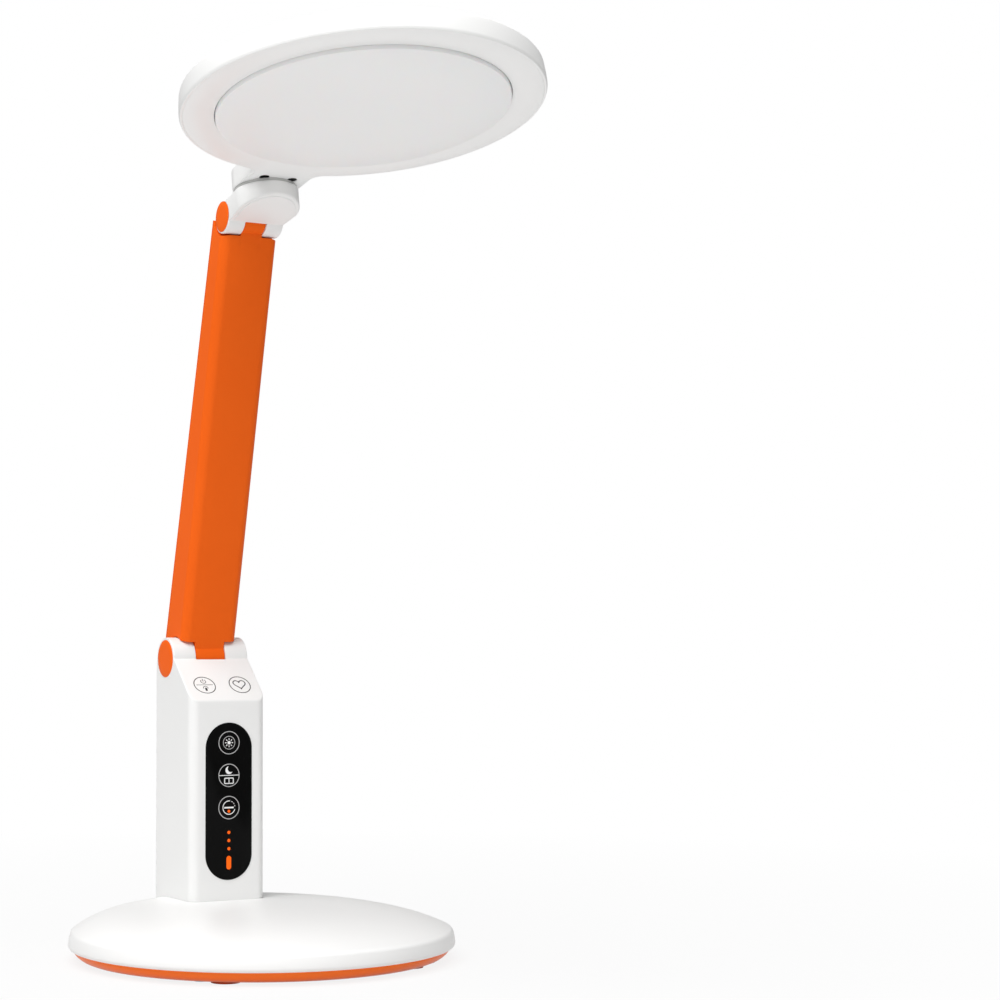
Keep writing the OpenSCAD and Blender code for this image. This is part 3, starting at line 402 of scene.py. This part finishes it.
def stroke(path, width, place, looped=True):
    """A flat printed line: a thin rectangle carried along a path in the plane, square to the path's run."""
    path = np.asarray(path, float)
    run = np.roll(path, -1, 0) - np.roll(path, 1, 0) if looped else np.gradient(path, axis=0)
    side = np.stack([-run[:, 1], run[:, 0]], -1) / np.linalg.norm(run, axis=1, keepdims=True) * width / 2
    return np.stack([place(path + side, 0.0), place(path + side, print_t),
                     place(path - side, print_t), place(path - side, 0.0)], 1), looped


def patch(outline, place):
    """A flat printed patch: a closed outline in the plane, a print's thickness high."""
    return np.stack([place(outline, 0.0), place(outline, print_t)]), False


def circle(x, y, radius, begin=0.0, end=360.0, steps=72):
    """Points of a circle or, between two angles, of an arc of it."""
    full = end - begin >= 360
    turn = np.radians(np.linspace(begin, end, steps, endpoint=not full))
    return np.stack([x + radius * np.cos(turn), y + radius * np.sin(turn)], -1)


sun, moon, dial = key_up
marks = [stroke(circle(0, up, key_r), key_line, on_front) for up in key_up]
marks.append(stroke(circle(0, sun, sun_ring), hair_line, on_front))
key_rings = skin("panel_key_rings", marks, ring_ink)
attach(key_rings, "base")
marks = [patch(circle(0, sun, sun_r), on_front)]
for angle in np.radians(np.arange(0, 360, 45)):
    ray = np.outer(ray_reach, [np.cos(angle), np.sin(angle)]) + [0, sun]
    marks.append(stroke(ray, ray_line, on_front, False))
marks.append(stroke([[-key_r, moon], [key_r, moon]], thin_line, on_front, False))
crescent = np.concatenate([circle(0, moon + 2.45, 1.9, 105, 345, 40),
                           circle(0.95, moon + 3.15, 1.62, 310, 140, 30)])
marks.append(patch(crescent, on_front))
low, top = moon - book_low, moon - book_top
book = soften([[-book_half, low], [book_half, low], [book_half, top], [-book_half, top]], book_soft)
marks.append(stroke(book, book_line, on_front))
marks.append(stroke([[0, low], [0, top]], plain_line, on_front, False))
marks.append(stroke(circle(0, dial, dial_r, 80, 345), plain_line, on_front, False))
for angle in (15, 38, 60):
    tick = circle(0, dial, dial_r, angle - tick_half, angle + tick_half, 6)
    marks.append(stroke(tick, hair_line, on_front, False))
marks.append(stroke([[-dial_half, dial], [dial_half, dial]], bar_line, on_front, False))
symbols = skin("panel_symbols", marks, symbol_ink)
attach(symbols, "base")

# LEVEL LIGHTS
# Clear orange acrylic lenses let into the panel, with small lamps behind them: a dot in the dial, three dots and a
# bar, all lit.
dot_up, bar_up, dial_dot_down = [-15.0, -18.9, -22.8], -29.5, 1.75
dot_w, dot_h, bar_w, bar_h, dial_dot_r, glow_mm = 1.6, 1.61, 2.5, 6.5, 0.7, 1.5
# A strong orange that glows a little by itself.
lens, tree, shader = new_material("lit orange lens", Roughness=0.3, Emission_Strength=0.2,
                                  Specular_IOR_Level=0.15)
place = add(tree, "ShaderNodeTexCoord").outputs["Object"]
glow = add(tree, "ShaderNodeTexNoise", {"Vector": place}, Scale=1000 / glow_mm, Detail=1.0)
tone = add(tree, "ShaderNodeMix", {"Factor": glow.outputs["Fac"]}, data_type="RGBA",
           A=linear("#FA5E02"), B=linear("#FC680A"))
tree.links.new(tone.outputs["Result"], shader.inputs["Base Color"])
tree.links.new(tone.outputs["Result"], shader.inputs["Emission Color"])
lights = [patch(circle(0, dial - dial_dot_down, dial_dot_r), on_front)]
for width, height, up in [(dot_w, dot_h, up) for up in dot_up] + [(bar_w, bar_h, bar_up)]:
    outline, out = stadium(width, height, 16)
    lights.append((np.stack([on_front(outline - out * inset + [0, up], rise) for inset, rise in
                             [(0, -1.6), (0, 0.01), (0.08, 0.05), (0.3, 0.08)]]), False))
level = skin("level_lights", lights, lens)
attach(level, "base")
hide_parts("indicator_window")

# SLOPE KEYS
# Two touch keys pad-printed in dark grey ink on the column's slope: a ringed heart, and a ringed power and tap
# sign.
slope_turn = math.atan2(crease_z - slope_z, crease_y - column_front)
slope_key_x, slope_key_up, slope_ring, heart_size = 9.4, 10.7, 5.45, 0.2
ring_line, heart_line, rule_line, power_line, tap_line = 0.46, 0.55, 0.3, 0.36, 0.32
rule_half, rule_up, power_up, power_top, power_r = 4.4, 0.2, 2.5, 4.2, 1.25
tap_up, tap_r, finger_half, finger_low, finger_top, finger_soft = -1.9, 1.15, 0.55, -3.9, -1.75, 0.45
# Thin dark lines, not quite black.
dark_ink = printed_ink("dark grey pad ink", "#303030", "#3C3C3C")


def on_slope(plan, height):
    """Points drawn on the slope, x sideways and y up the slope, standing out of it by a height."""
    plan = np.asarray(plan, float)
    up, out = plan[..., 1] + slope_key_up, np.broadcast_to(height, plan.shape[:-1])
    c, s = math.cos(slope_turn), math.sin(slope_turn)
    return np.stack([plan[..., 0], column_front + up * c - out * s, slope_z + up * s + out * c], -1)


a = np.linspace(0, 2 * np.pi, 80, endpoint=False)
heart = np.stack([16 * np.sin(a) ** 3,
                  13 * np.cos(a) - 5 * np.cos(2 * a) - 2 * np.cos(3 * a) - np.cos(4 * a) + 2], -1)
marks = [stroke(circle(side * slope_key_x, 0, slope_ring), ring_line, on_slope) for side in (-1, 1)]
marks.append(stroke(heart * heart_size + [slope_key_x, 0], heart_line, on_slope))
left = np.array([-slope_key_x, 0])
marks.append(stroke(left + [[-rule_half, rule_up], [rule_half, rule_up]], rule_line, on_slope, False))
marks.append(stroke(left + circle(0, power_up, power_r, 125, 415), power_line, on_slope, False))
marks.append(stroke(left + [[0, power_up], [0, power_top]], power_line, on_slope, False))
marks.append(stroke(left + circle(0, tap_up, tap_r, -20, 200), tap_line, on_slope, False))
finger = soften([[-finger_half, finger_low], [finger_half, finger_low], [finger_half, finger_top],
                 [-finger_half, finger_top]], finger_soft)
marks.append(patch(left + finger, on_slope))
slope_marks = skin("slope_key_symbols", marks, dark_ink)
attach(slope_marks, "base")

# INSIDE THE COLUMN
# The circuit boards in green solder mask, brass touch pads, the lithium cell in its wrap and holder, and the
# charging socket. They show only through the socket's mouth or with the covers off.
# Semi-gloss green, warm metal, a slightly wrinkled blue, a dull black and a bright metal.
board_mask = moulded_plastic("green solder mask on glass epoxy", "#2A6A42", "#235B38", 0.35, 0.8, 12.0)
brass = bare_metal("plain brass", "#C79A4B", "#B58A3E", 0.35, 0.5)
cell_wrap = moulded_plastic("blue PVC shrink wrap", "#3C74AF", "#356AA3", 0.3, 1.5, 20.0)
black_nylon = moulded_plastic("black glass-filled nylon", "#1E1E1E", "#272727", 0.5, 0.7, 15.0)
bright_steel = bare_metal("bright drawn steel", "#C4C7CB", "#B2B5B9", 0.22, 0.3)
dress(board_mask, "control_board", "slope_board", "charge_board")
dress(brass, "touch_pads")
dress(cell_wrap, "battery_cell")
dress(black_nylon, "battery_holder")
dress(bright_steel, "charge_socket")

# LOWER HINGE
# A steel bolt, nut and washers clamp the arm's tongue between the column's knuckles; a moulded orange cap is
# pressed into each end of the bore.
cap_r, cap_proud = 9.2, 0.3
# Orange with a soft sheen and little shine, so that its colour holds on every side.
orange_abs = moulded_plastic("orange satin ABS", "#F6681A", "#F26316", 0.45, 0.5, shine=0.05)


def across(rings, x, origin):
    """Rings turned about z laid over so that their axis runs along +x or, with x negative, along -x, at an
    origin."""
    side = np.sign(x)
    return np.stack([side * rings[..., 2] + x, rings[..., 0], side * rings[..., 1]], -1) + origin


hinge_1 = np.array([0, hinge_y, hinge_z])
cap = turned([(0, -1.8), (cap_r - 0.05, -1.8), (cap_r, -0.15), (cap_r - 0.06, 0.12), (cap_r - 0.3, 0.26),
              (cap_r * 0.6, 0.29), (0, cap_proud)], 128)
caps = skin("lower_hinge_end_caps",
            [(across(cap, side * column_w / 2, hinge_1), False) for side in (-1, 1)], orange_abs)
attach(caps, "base")
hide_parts("lower_hinge_caps")
dress(zinc_steel, "lower_hinge_bolt", "lower_hinge_nut", "lower_hinge_washers")

# ARM
# An orange ABS box whose depth tapers upwards, with flats along its front edges, a tongue at each end for the
# hinges, and a separate back cover held by two screws; a flat cable runs up inside.
arm_lean, arm_len, arm_half = math.radians(14.4), 218.5, 14.7
front_low, front_high, back_low, back_high = 7.1, 4.0, 15.4, 11.0
front_flat, flat_soft, back_round = 2.9, 1.6, 1.4
low_scoop, high_scoop, low_front, high_front = 10.9, 9.1, 10.2, 8.2
low_tail, high_tail, tail_round = 4.0, 2.6, 1.0
arm_middle, end_share = [0, 5.0, arm_len / 2], 0.99
low_tongue_r, low_tongue_half, high_tongue_r, high_tongue_half = 9.8, 7.85, 7.6, 5.55
tongue_flush, tongue_soft, web_back, web_near, web_len = 0.02, 0.3, 7.0, 7, 14.0
arm_cover_t, cover_seat, arm_screw_z = 2.0, 0.05, (27.9, 193.6)
sink_r, sink_bore, sink_depth = 2.8, 1.35, 1.2


def arm_front(z):
    """Distance of the arm's front face ahead of the line through the hinges, at a height along it."""
    return front_low + (front_high - front_low) * z / arm_len


def arm_back(z):
    """Distance of the arm's back face behind the line through the hinges, at a height along it."""
    return back_low + (back_high - back_low) * z / arm_len


def in_arm(points):
    """Points of the arm's own frame, its length along z, leant forward about the lower hinge."""
    x, y, z = np.moveaxis(np.asarray(points, float), -1, 0)
    c, s = math.cos(arm_lean), math.sin(arm_lean)
    return np.stack([x, y * c - z * s, y * s + z * c], -1) + hinge_1


def arm_rows(corner, front_in, back_in):
    """Rings across a slice of the arm. Each is a side outline whose ends are scooped round the hinges; the
    corner's points give its distance from the middle and how far its front and its back are drawn in."""
    x, front, back = np.concatenate([corner[::-1] * [-1, 1, 1], corner]).T[:, :, None]
    share = (1 - np.cos(np.linspace(0, np.pi, 41))) / 2
    ends = []
    for front_z, back_z in [(low_front, low_tail), (arm_len - high_front, arm_len - high_tail)]:
        begin, end = front + front_in(front_z), back_in(back_z) - back
        ends.append(begin + (end - begin) * share)
    low = np.maximum(np.sqrt(np.clip(low_scoop ** 2 - ends[0] ** 2, 0, None)),
                     np.where(ends[0] < 0, low_front, low_tail))
    high = np.maximum(np.sqrt(np.clip(high_scoop ** 2 - ends[1] ** 2, 0, None)), high_tail)
    past = np.clip(ends[1] - arm_back(arm_len) + tail_round, 0, tail_round)
    high = arm_len - high - tail_round + np.sqrt(tail_round ** 2 - past ** 2)
    y, z = np.concatenate([ends[0][:, ::-1], ends[1]], 1), np.concatenate([low[:, ::-1], high], 1)
    return in_arm(flat_ends(np.stack(np.broadcast_arrays(x, y, z), -1), arm_middle, end_share))


def tongue_rings(radius, half_w, z, towards):
    """Rings across a tongue: a disc round the hinge axis that runs into a web towards the arm's box."""
    near, far = (arm_front(z + towards * along) + tongue_flush for along in (web_near, web_len))
    turn = np.linspace(math.asin(near / radius), 2 * np.pi - math.asin(web_back / radius), 72)
    disc = np.stack([-radius * np.sin(turn), radius * np.cos(turn)], -1)
    side = np.concatenate([[[-far, web_len]], disc, [[web_back, web_len]]]) * [1, towards] + [0, z]
    middle, full = np.array([0, z]), half_w - tongue_soft
    rings = [np.insert(middle + (side - middle) * (1 - inset / radius), 0, x, axis=1) for x, inset in
             [(-half_w, tongue_soft), (-full, 0), (full, 0), (half_w, tongue_soft)]]
    return in_arm(np.stack(rings))


flat = soften([[arm_half - 9, 0], [arm_half - front_flat, 0], [arm_half, front_flat], [arm_half, front_flat + 2]],
              [0.1, flat_soft, flat_soft, 0.1], 7)[7:-7]
box = arm_rows(np.insert(flat, 2, 0, axis=1), lambda z: -arm_front(z),
               lambda z: arm_back(z) - arm_cover_t - cover_seat)
tongues = [tongue_rings(low_tongue_r, low_tongue_half, 0, 1),
           tongue_rings(high_tongue_r, high_tongue_half, arm_len, -1)]
arm = skin("arm_moulding", [(rings, False) for rings in (box, *tongues)], orange_abs)
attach(arm, "arm")
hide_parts("arm_shell")
bend = np.linspace(0, np.pi / 2, 8)
rounded = np.stack([arm_half - back_round * (1 - np.sin(bend)), 0 * bend, back_round * (1 - np.cos(bend))], 1)
slab = arm_rows(rounded, lambda z: arm_back(z) - arm_cover_t, arm_back)
arm_cover = skin("arm_back_moulding", [(slab, False)], orange_abs)
back_slant = math.atan2(back_low - back_high, arm_len)
sink = turned([(0, -1), (sink_r, -1), (sink_r, sink_depth), (sink_bore, sink_depth), (sink_bore, 3), (0, 3)], 48)
aside, along, deep = np.moveaxis(sink, -1, 0)
c, s = math.cos(back_slant), math.sin(back_slant)
for z in arm_screw_z:
    carve(arm_cover, in_arm(np.stack([aside, arm_back(z) - deep * c - along * s, z + along * c - deep * s], -1)))
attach(arm_cover, "arm")
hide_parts("arm_back_cover")
# Pale grey, smooth and a little waxy.
cable_pvc = moulded_plastic("grey PVC flat cable", "#D2D2D0", "#C8C8C6", 0.45, 0.6, 10.0)
dress(zinc_steel, "arm_screws")
dress(cable_pvc, "arm_cable")

# NECK
# A white ABS block that tips on the arm: flat on top where the head turns, sloping underneath with an inset cover,
# round at the front, with two knuckles at the back round the arm's upper tongue.
head_tilt = math.radians(10)
hinge_2 = in_arm([0, 0, arm_len])
neck_len, neck_r, neck_back_r, neck_top, neck_knuckle = 19.1, 15.6, 14.5, 6.95, 8.1
neck_front, neck_front_z, neck_fall, neck_curve = -34.7, 0.4, 0.383, 0.0076
neck_soft, neck_flat, top_soft, neck_slot, flare_y, notch_y = 0.8, 0.3, 0.5, 5.65, -8.6, -7.0
bolt_r, cap_seat_r, cap_seat_depth = 2.6, 7.42, 1.7
lid_inset, lid_back = 1.95, -9.4


def in_neck(points):
    """Points of the neck's own level frame, tipped up about the upper hinge."""
    x, y, z = np.moveaxis(np.asarray(points, float), -1, 0)
    c, s = math.cos(head_tilt), math.sin(head_tilt)
    return np.stack([x, y * c + z * s, z * c - y * s], -1) + hinge_2


def underside(plan):
    """Height of the neck's underside, which falls from its front end towards the hinge, less and less steeply."""
    behind = plan[..., 1] - neck_front
    return neck_front_z - behind * neck_fall + behind ** 2 * neck_curve


def half_round(steps):
    """Points of the front half of a unit circle."""
    turn = np.linspace(np.pi, 2 * np.pi, steps)
    return np.stack([np.cos(turn), np.sin(turn)], -1)


nose = half_round(80)
tail = np.array([[neck_back_r, flare_y], [neck_back_r, notch_y], [neck_back_r, 0], [neck_slot, 0],
                 [neck_slot, notch_y], [-neck_slot, notch_y], [-neck_slot, 0], [-neck_back_r, 0],
                 [-neck_back_r, notch_y], [-neck_back_r, flare_y]])
outline = np.concatenate([nose * neck_r - [0, neck_len], tail])
out = np.concatenate([nose, np.sign(tail) * [1, 0] * (np.abs(tail[:, :1]) > neck_slot)])
bend = np.linspace(np.pi / 2, 0, 7)
flat = outline - out * (neck_soft + neck_flat)
rings = [raised(flat, underside(flat))]
rings += [raised(plan, underside(plan) + neck_soft * (1 - np.sin(b)))
          for b in bend for plan in [outline - out * neck_soft * (1 - np.cos(b))]]
rings += [raised(outline - out * top_soft * (1 - np.cos(b)), neck_top - top_soft * (1 - np.sin(b)))
          for b in bend[::-2]]
block = (in_neck(np.stack(rings)), False)
knuckle_w = neck_back_r - neck_slot
seat_x = knuckle_w - cap_seat_depth
knuckle = turned(soften([(bolt_r, 0), (neck_knuckle, 0), (neck_knuckle, knuckle_w), (cap_seat_r, knuckle_w),
                         (cap_seat_r, seat_x), (bolt_r, seat_x)], [0.1, 0.3, 0.8, 0.1, 0.1, 0.1], 5), 128)
barrels = [(in_neck(across(knuckle, side * neck_slot, 0)), True) for side in (-1, 1)]
neck = skin("neck_moulding", [block] + barrels, white_abs)
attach(neck, "neck")
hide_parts("neck_body")
lid_x = np.interp(lid_back, [-neck_len, flare_y], [neck_r, neck_back_r]) - lid_inset
middle = np.array([0, -neck_len])
lid = np.concatenate([half_round(64) * (neck_r - lid_inset) + middle, [[lid_x, lid_back], [-lid_x, lid_back]]])
rings = [raised(plan, underside(plan) - rise)
         for inset, rise in [(0, -1.0), (0, 0.12), (0.008, 0.22), (0.025, 0.28), (0.05, 0.28)]
         for plan in [middle + (lid - middle) * (1 - inset)]]
neck_lid = skin("neck_lid_moulding", [(in_neck(np.stack(rings)), False)], white_abs)
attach(neck_lid, "neck")
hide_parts("neck_cover")

# UPPER HINGE AND SWIVEL
# A smaller bolt, nut and washers under orange caps, and the hollow steel swivel, clamped by its nut on a grey wear
# ring that lies between the neck and the head.
upper_cap_r = 7.35
ring_r, ring_bore, ring_sunk, ring_top = 15.1, 9.0, 0.4, 8.3
cap = turned([(0, -1.6), (upper_cap_r - 0.05, -1.6), (upper_cap_r, -0.1), (upper_cap_r - 0.06, 0.14),
              (upper_cap_r - 0.3, 0.26), (upper_cap_r * 0.6, 0.29), (0, cap_proud)], 128)
upper_caps = skin("upper_hinge_end_caps",
                  [(in_neck(across(cap, side * neck_back_r, 0)), False) for side in (-1, 1)], orange_abs)
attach(upper_caps, "neck")
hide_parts("upper_hinge_caps")
dress(zinc_steel, "upper_hinge_bolt", "upper_hinge_nut", "upper_hinge_washers", "swivel_tube", "swivel_washer",
      "swivel_nut")
# Plain light grey that the shadow of the ear darkens to a band.
grey_acetal = moulded_plastic("grey acetal", "#C2C2C0", "#BABAB8", 0.4, 0.6, 15.0)
ring_low = neck_top - ring_sunk
ring = turned([(ring_bore, ring_low), (ring_r, ring_low), (ring_r, ring_top), (ring_bore, ring_top)], 128)
wear_ring = skin("swivel_wear_ring", [(in_neck(ring - [0, neck_len, 0]), True)], grey_acetal)
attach(wear_ring, "neck")
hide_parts("swivel_ring")

# HEAD CASING
# A shallow white ABS dish, face down, with an ear at the back that turns on the neck. Its rim is widest near the
# bezel and leans in towards the flat top.
head_y, head_z, head_r, head_t = -119.1, 8.4, 80.8, 9.8
ear_r, ear_y, ear_fillet, ear_share = 15.7, -neck_len, 6.0, 0.3
lip_w, lip_z, lip_side, top_in, round_steps = 1.65, 6.9, -1.2, 3.5, 6


def arc_of(centre, radius, begin, end, steps, outwards=1):
    """Points of an arc from one angle to another, in degrees, with the way out of the casing at each of them."""
    turn = np.radians(np.linspace(begin, end, steps))
    ray = np.stack([np.cos(turn), np.sin(turn)], -1)
    return np.asarray(centre) + ray * radius, ray * outwards


def head_outline():
    """The casing's outline: the disc, a fillet, the ear's round end and a fillet, with the way out at each point
    and the share of the rim's shaping there, which is less on the ear."""
    fillet_x = ear_r + ear_fillet
    fillet_y = head_y + math.sqrt((head_r + ear_fillet) ** 2 - fillet_x ** 2)
    touch = math.degrees(math.atan2(fillet_y - head_y, fillet_x))
    runs = [arc_of((0, head_y), head_r, 180 - touch, 360 + touch, 300),
            arc_of((fillet_x, fillet_y), ear_fillet, 180 + touch, 180, 16, -1),
            arc_of((0, ear_y), ear_r, 0, 180, 64),
            arc_of((-fillet_x, fillet_y), ear_fillet, 0, -touch, 16, -1)]
    shares = [np.ones(300), np.linspace(1, ear_share, 16), np.full(64, ear_share), np.linspace(ear_share, 1, 16)]
    points, out = (np.concatenate(part) for part in zip(*runs))
    return points, out, np.concatenate(shares)[:, None]


def in_head(points):
    """Points of the head's frame, which lies on the neck's with the bezel's face at zero."""
    return in_neck(np.asarray(points) + [0, 0, head_z])


outline, out, share = head_outline()
shape = soften([(-lip_w, lip_z), (-lip_w, 0.02), (-0.6, 0.02), (-0.12, 1.1), (-0.3, 5.0), (-0.8, head_t),
                (-top_in, head_t)], [0, 0.1, 0.35, 0.6, 1.5, 0.8, 0], round_steps)
rings = [raised(outline - out * lip_w, lip_z)]
rings += [raised(outline + out * (inset if inset < lip_side else inset * share), z)
          for inset, z in shape[round_steps:-round_steps]]
rings.append(raised(outline - out * top_in, head_t))
casing = skin("head_casing_moulding", [(in_head(np.stack(rings)), False)], white_abs)
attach(casing, "head")
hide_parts("head_shell")

# BEZEL
# The flat white ABS ring that closes the casing from below and carries the diffuser; two black screws go through
# it into the ear.
bezel_in, bezel_t, opening_r = 1.67, 2.2, 65.3
ear_screw_x, ear_screw_in, ear_seat_r, ear_bore, ear_seat_depth = 7.2, 14.1, 2.5, 1.45, 1.25
inward = outline - [0, head_y]
hub = inward / np.linalg.norm(inward, axis=1, keepdims=True) * opening_r + [0, head_y]
edge = outline - out * bezel_in
lip = (edge - hub) / np.linalg.norm(edge - hub, axis=1, keepdims=True)
rings = np.stack([raised(hub, bezel_t), raised(hub, 0.35), raised(hub + lip * 0.1, 0.1),
                  raised(hub + lip * 0.35, 0), raised(edge - out * 0.15, 0), raised(edge - out * 0.04, 0.05),
                  raised(edge, 0.18), raised(edge, bezel_t)])
bezel = skin("head_bezel_moulding", [(in_head(rings), True)], white_abs)
hole = turned([(0, -1), (ear_seat_r, -1), (ear_seat_r, ear_seat_depth), (ear_bore, ear_seat_depth), (ear_bore, 3),
               (0, 3)], 48)
for x in (-ear_screw_x, ear_screw_x):
    carve(bezel, in_head(hole + [x, ear_y - ear_screw_in, 0]))
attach(bezel, "head")
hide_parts("head_bezel")
# Dark satin metal, seen as two black spots.
black_oxide = bare_metal("black oxide steel", "#1B1B1C", "#121213", 0.45, 0.4)
dress(black_oxide, "ear_screws")

# DIFFUSER
# A frosted white acrylic dish that stands 1.8 mm out of the bezel, held by a flange behind it; light from the
# guide leaves it evenly.
diffuser_r, diffuser_drop = 64.9, 1.8
flange_r, flange_low, flange_high = 69.5, 2.25, 3.0
frost_mm, cloud_mm, etch_depth = 0.6, 60.0, 0.00005
# Milky white without sharp reflections, with a little depth to it.
frosted, tree, shader = new_material("frosted opal acrylic", Roughness=0.5, IOR=1.49, Subsurface_Weight=0.15,
                                     Subsurface_Scale=0.003)
place = add(tree, "ShaderNodeTexCoord").outputs["Object"]
frost = add(tree, "ShaderNodeTexNoise", {"Vector": place}, Scale=1000 / frost_mm, Detail=2.0)
cloud = add(tree, "ShaderNodeTexNoise", {"Vector": place}, Scale=1000 / cloud_mm, Detail=1.0)
tone = add(tree, "ShaderNodeMix", {"Factor": cloud.outputs["Fac"]}, data_type="RGBA",
           A=linear("#F1F1F0"), B=linear("#EEEEEE"))
etch = add(tree, "ShaderNodeBump", {"Height": frost.outputs["Fac"]}, Strength=0.1, Distance=etch_depth)
tree.links.new(tone.outputs["Result"], shader.inputs["Base Color"])
tree.links.new(etch.outputs["Normal"], shader.inputs["Normal"])
profile = [(0, flange_high), (flange_r, flange_high), (flange_r, flange_low), (diffuser_r, flange_low),
           (diffuser_r, -1.1), (diffuser_r - 0.2, -1.55), (diffuser_r - 0.7, -diffuser_drop),
           (diffuser_r - 20, -diffuser_drop), (0, -diffuser_drop)]
rings = in_head(turned(profile, 256) + [0, head_y, 0])
diffuser = skin("diffuser_dish", [(rings, False)], frosted)
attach(diffuser, "head")
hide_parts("diffuser")

# INSIDE THE HEAD
# Behind the diffuser: a clear acrylic light guide edged by a strip of diodes, a white reflector film and an
# aluminium plate that spreads the heat, held by four screws.
dot_mm = 2.0
# Clear, with the faint pattern of etched dots that lets the light out.
clear, tree, shader = new_material("clear acrylic", Roughness=0.08, IOR=1.49, Transmission_Weight=0.9)
place = add(tree, "ShaderNodeTexCoord").outputs["Object"]
dots = add(tree, "ShaderNodeTexVoronoi", {"Vector": place}, Scale=1000 / dot_mm)
tone = add(tree, "ShaderNodeMix", {"Factor": dots.outputs["Distance"]}, data_type="RGBA",
           A=linear("#F4FBFB"), B=linear("#E6F1F3"))
tree.links.new(tone.outputs["Result"], shader.inputs["Base Color"])
# Bright white, soft yellow and a pale streaked metal.
film = moulded_plastic("white polyester film", "#F8F8F8", "#F3F3F3", 0.3, 0.4)
phosphor = moulded_plastic("yellow phosphor silicone", "#F2E2A0", "#EBD88C", 0.3, 0.3, 4.0)
aluminium = bare_metal("rolled aluminium", "#CDCFD1", "#BFC1C4", 0.38, 0.6)
dress(clear, "light_guide")
dress(film, "reflector_sheet")
dress(board_mask, "led_strip")
dress(phosphor, "leds")
dress(aluminium, "heat_plate")
dress(zinc_steel, "plate_screws")

# FLOOR
# A plain white table top, pale and matt. Seen directly it is mixed with plain white, wholly so further out, where
# it meets the background, and less so near the lamp, where it keeps a soft shadow.
floor_half, floor_low, floor_top = 3000.0, -4.0, -0.02
fade_from, fade_to, near_white = 0.12, 0.7, 0.86
table, tree, shader = new_material("white table top", Roughness=0.8)
shader.inputs["Base Color"].default_value = linear("#DDDDDD")
place = add(tree, "ShaderNodeTexCoord").outputs["Object"]
far = add(tree, "ShaderNodeVectorMath", {0: place}, operation="LENGTH")
fade = add(tree, "ShaderNodeMapRange", {"Value": far.outputs["Value"]}, From_Min=fade_from, From_Max=fade_to,
           To_Min=near_white, To_Max=1.0)
rays = add(tree, "ShaderNodeLightPath")
seen = add(tree, "ShaderNodeMath", {0: rays.outputs["Is Camera Ray"], 1: rays.outputs["Is Glossy Ray"]},
           operation="MAXIMUM")
seen = add(tree, "ShaderNodeMath", {0: seen.outputs[0], 1: rays.outputs["Is Transmission Ray"]},
           operation="MAXIMUM")
share = add(tree, "ShaderNodeMath", {0: seen.outputs[0], 1: fade.outputs["Result"]}, operation="MULTIPLY")
white = add(tree, "ShaderNodeEmission", Strength=1.0)
mixed = add(tree, "ShaderNodeMixShader", {0: share.outputs[0], 1: shader.outputs[0], 2: white.outputs[0]})
tree.links.new(mixed.outputs[0], tree.nodes["Material Output"].inputs["Surface"])
square = floor_half * np.array([[-1, -1], [1, -1], [1, 1], [-1, 1]])
floor = skin("table_top", [(np.stack([raised(square, floor_low), raised(square, floor_top)]), False)], table)

# LIGHT
# Even white studio light from all round, and one large soft lamp high on the left, in front. The background itself
# is seen as plain white.
room_level, lamp_at, lamp_aim, lamp_size, lamp_watts = 0.31, (-0.8, -0.8, 2.15), (0, 0, 0.15), 2.5, 81.0
world = bpy.data.worlds.new("white studio")
world.use_nodes = True
bpy.context.scene.world = world
tree = world.node_tree
rays = add(tree, "ShaderNodeLightPath")
seen = add(tree, "ShaderNodeMath", {0: rays.outputs["Is Camera Ray"], 1: rays.outputs["Is Transmission Ray"]},
           operation="MAXIMUM")
strength = add(tree, "ShaderNodeMapRange", {"Value": seen.outputs[0]}, To_Min=room_level, To_Max=1.0)
tree.links.new(strength.outputs["Result"], tree.nodes["Background"].inputs["Strength"])
tree.nodes["Background"].inputs["Color"].default_value = (1, 1, 1, 1)
lamp = bpy.data.lights.new("high left lamp", "AREA")
lamp.size, lamp.energy = lamp_size, lamp_watts
holder = bpy.data.objects.new("high left lamp", lamp)
holder.location = lamp_at
holder.rotation_euler = Vector(np.subtract(lamp_aim, lamp_at)).to_track_quat("-Z", "Y").to_euler()
bpy.context.scene.collection.objects.link(holder)

# CAMERA
# At the photograph's place: level with the top of the column and left of the lamp's front, looking slightly up,
# with the picture shifted sideways to take in the whole lamp.
camera_at = np.array([-448.3, -931.1, 147.05]) / 1000
yaw, pitch, roll = (math.radians(v) for v in (-28.0, 3.7, -0.1))
sensor_mm, lens_per_sensor, shift = 36.0, 2.18936, 0.15
forward = np.array([-math.sin(yaw) * math.cos(pitch), math.cos(yaw) * math.cos(pitch), math.sin(pitch)])
right = np.array([math.cos(yaw), math.sin(yaw), 0.0])
up = np.cross(right, forward)
right, up = (math.cos(roll) * right + math.sin(roll) * up, math.cos(roll) * up - math.sin(roll) * right)
lens_data = bpy.data.cameras.new("camera")
lens_data.sensor_width, lens_data.lens, lens_data.shift_x = sensor_mm, sensor_mm * lens_per_sensor, shift
camera = bpy.data.objects.new("camera", lens_data)
pose = np.eye(4)
pose[:3] = np.stack([right, up, -forward, camera_at], 1)
camera.matrix_world = Matrix(pose.tolist())
bpy.context.scene.collection.objects.link(camera)
bpy.context.scene.camera = camera
bpy.context.scene.view_settings.view_transform = "Standard"
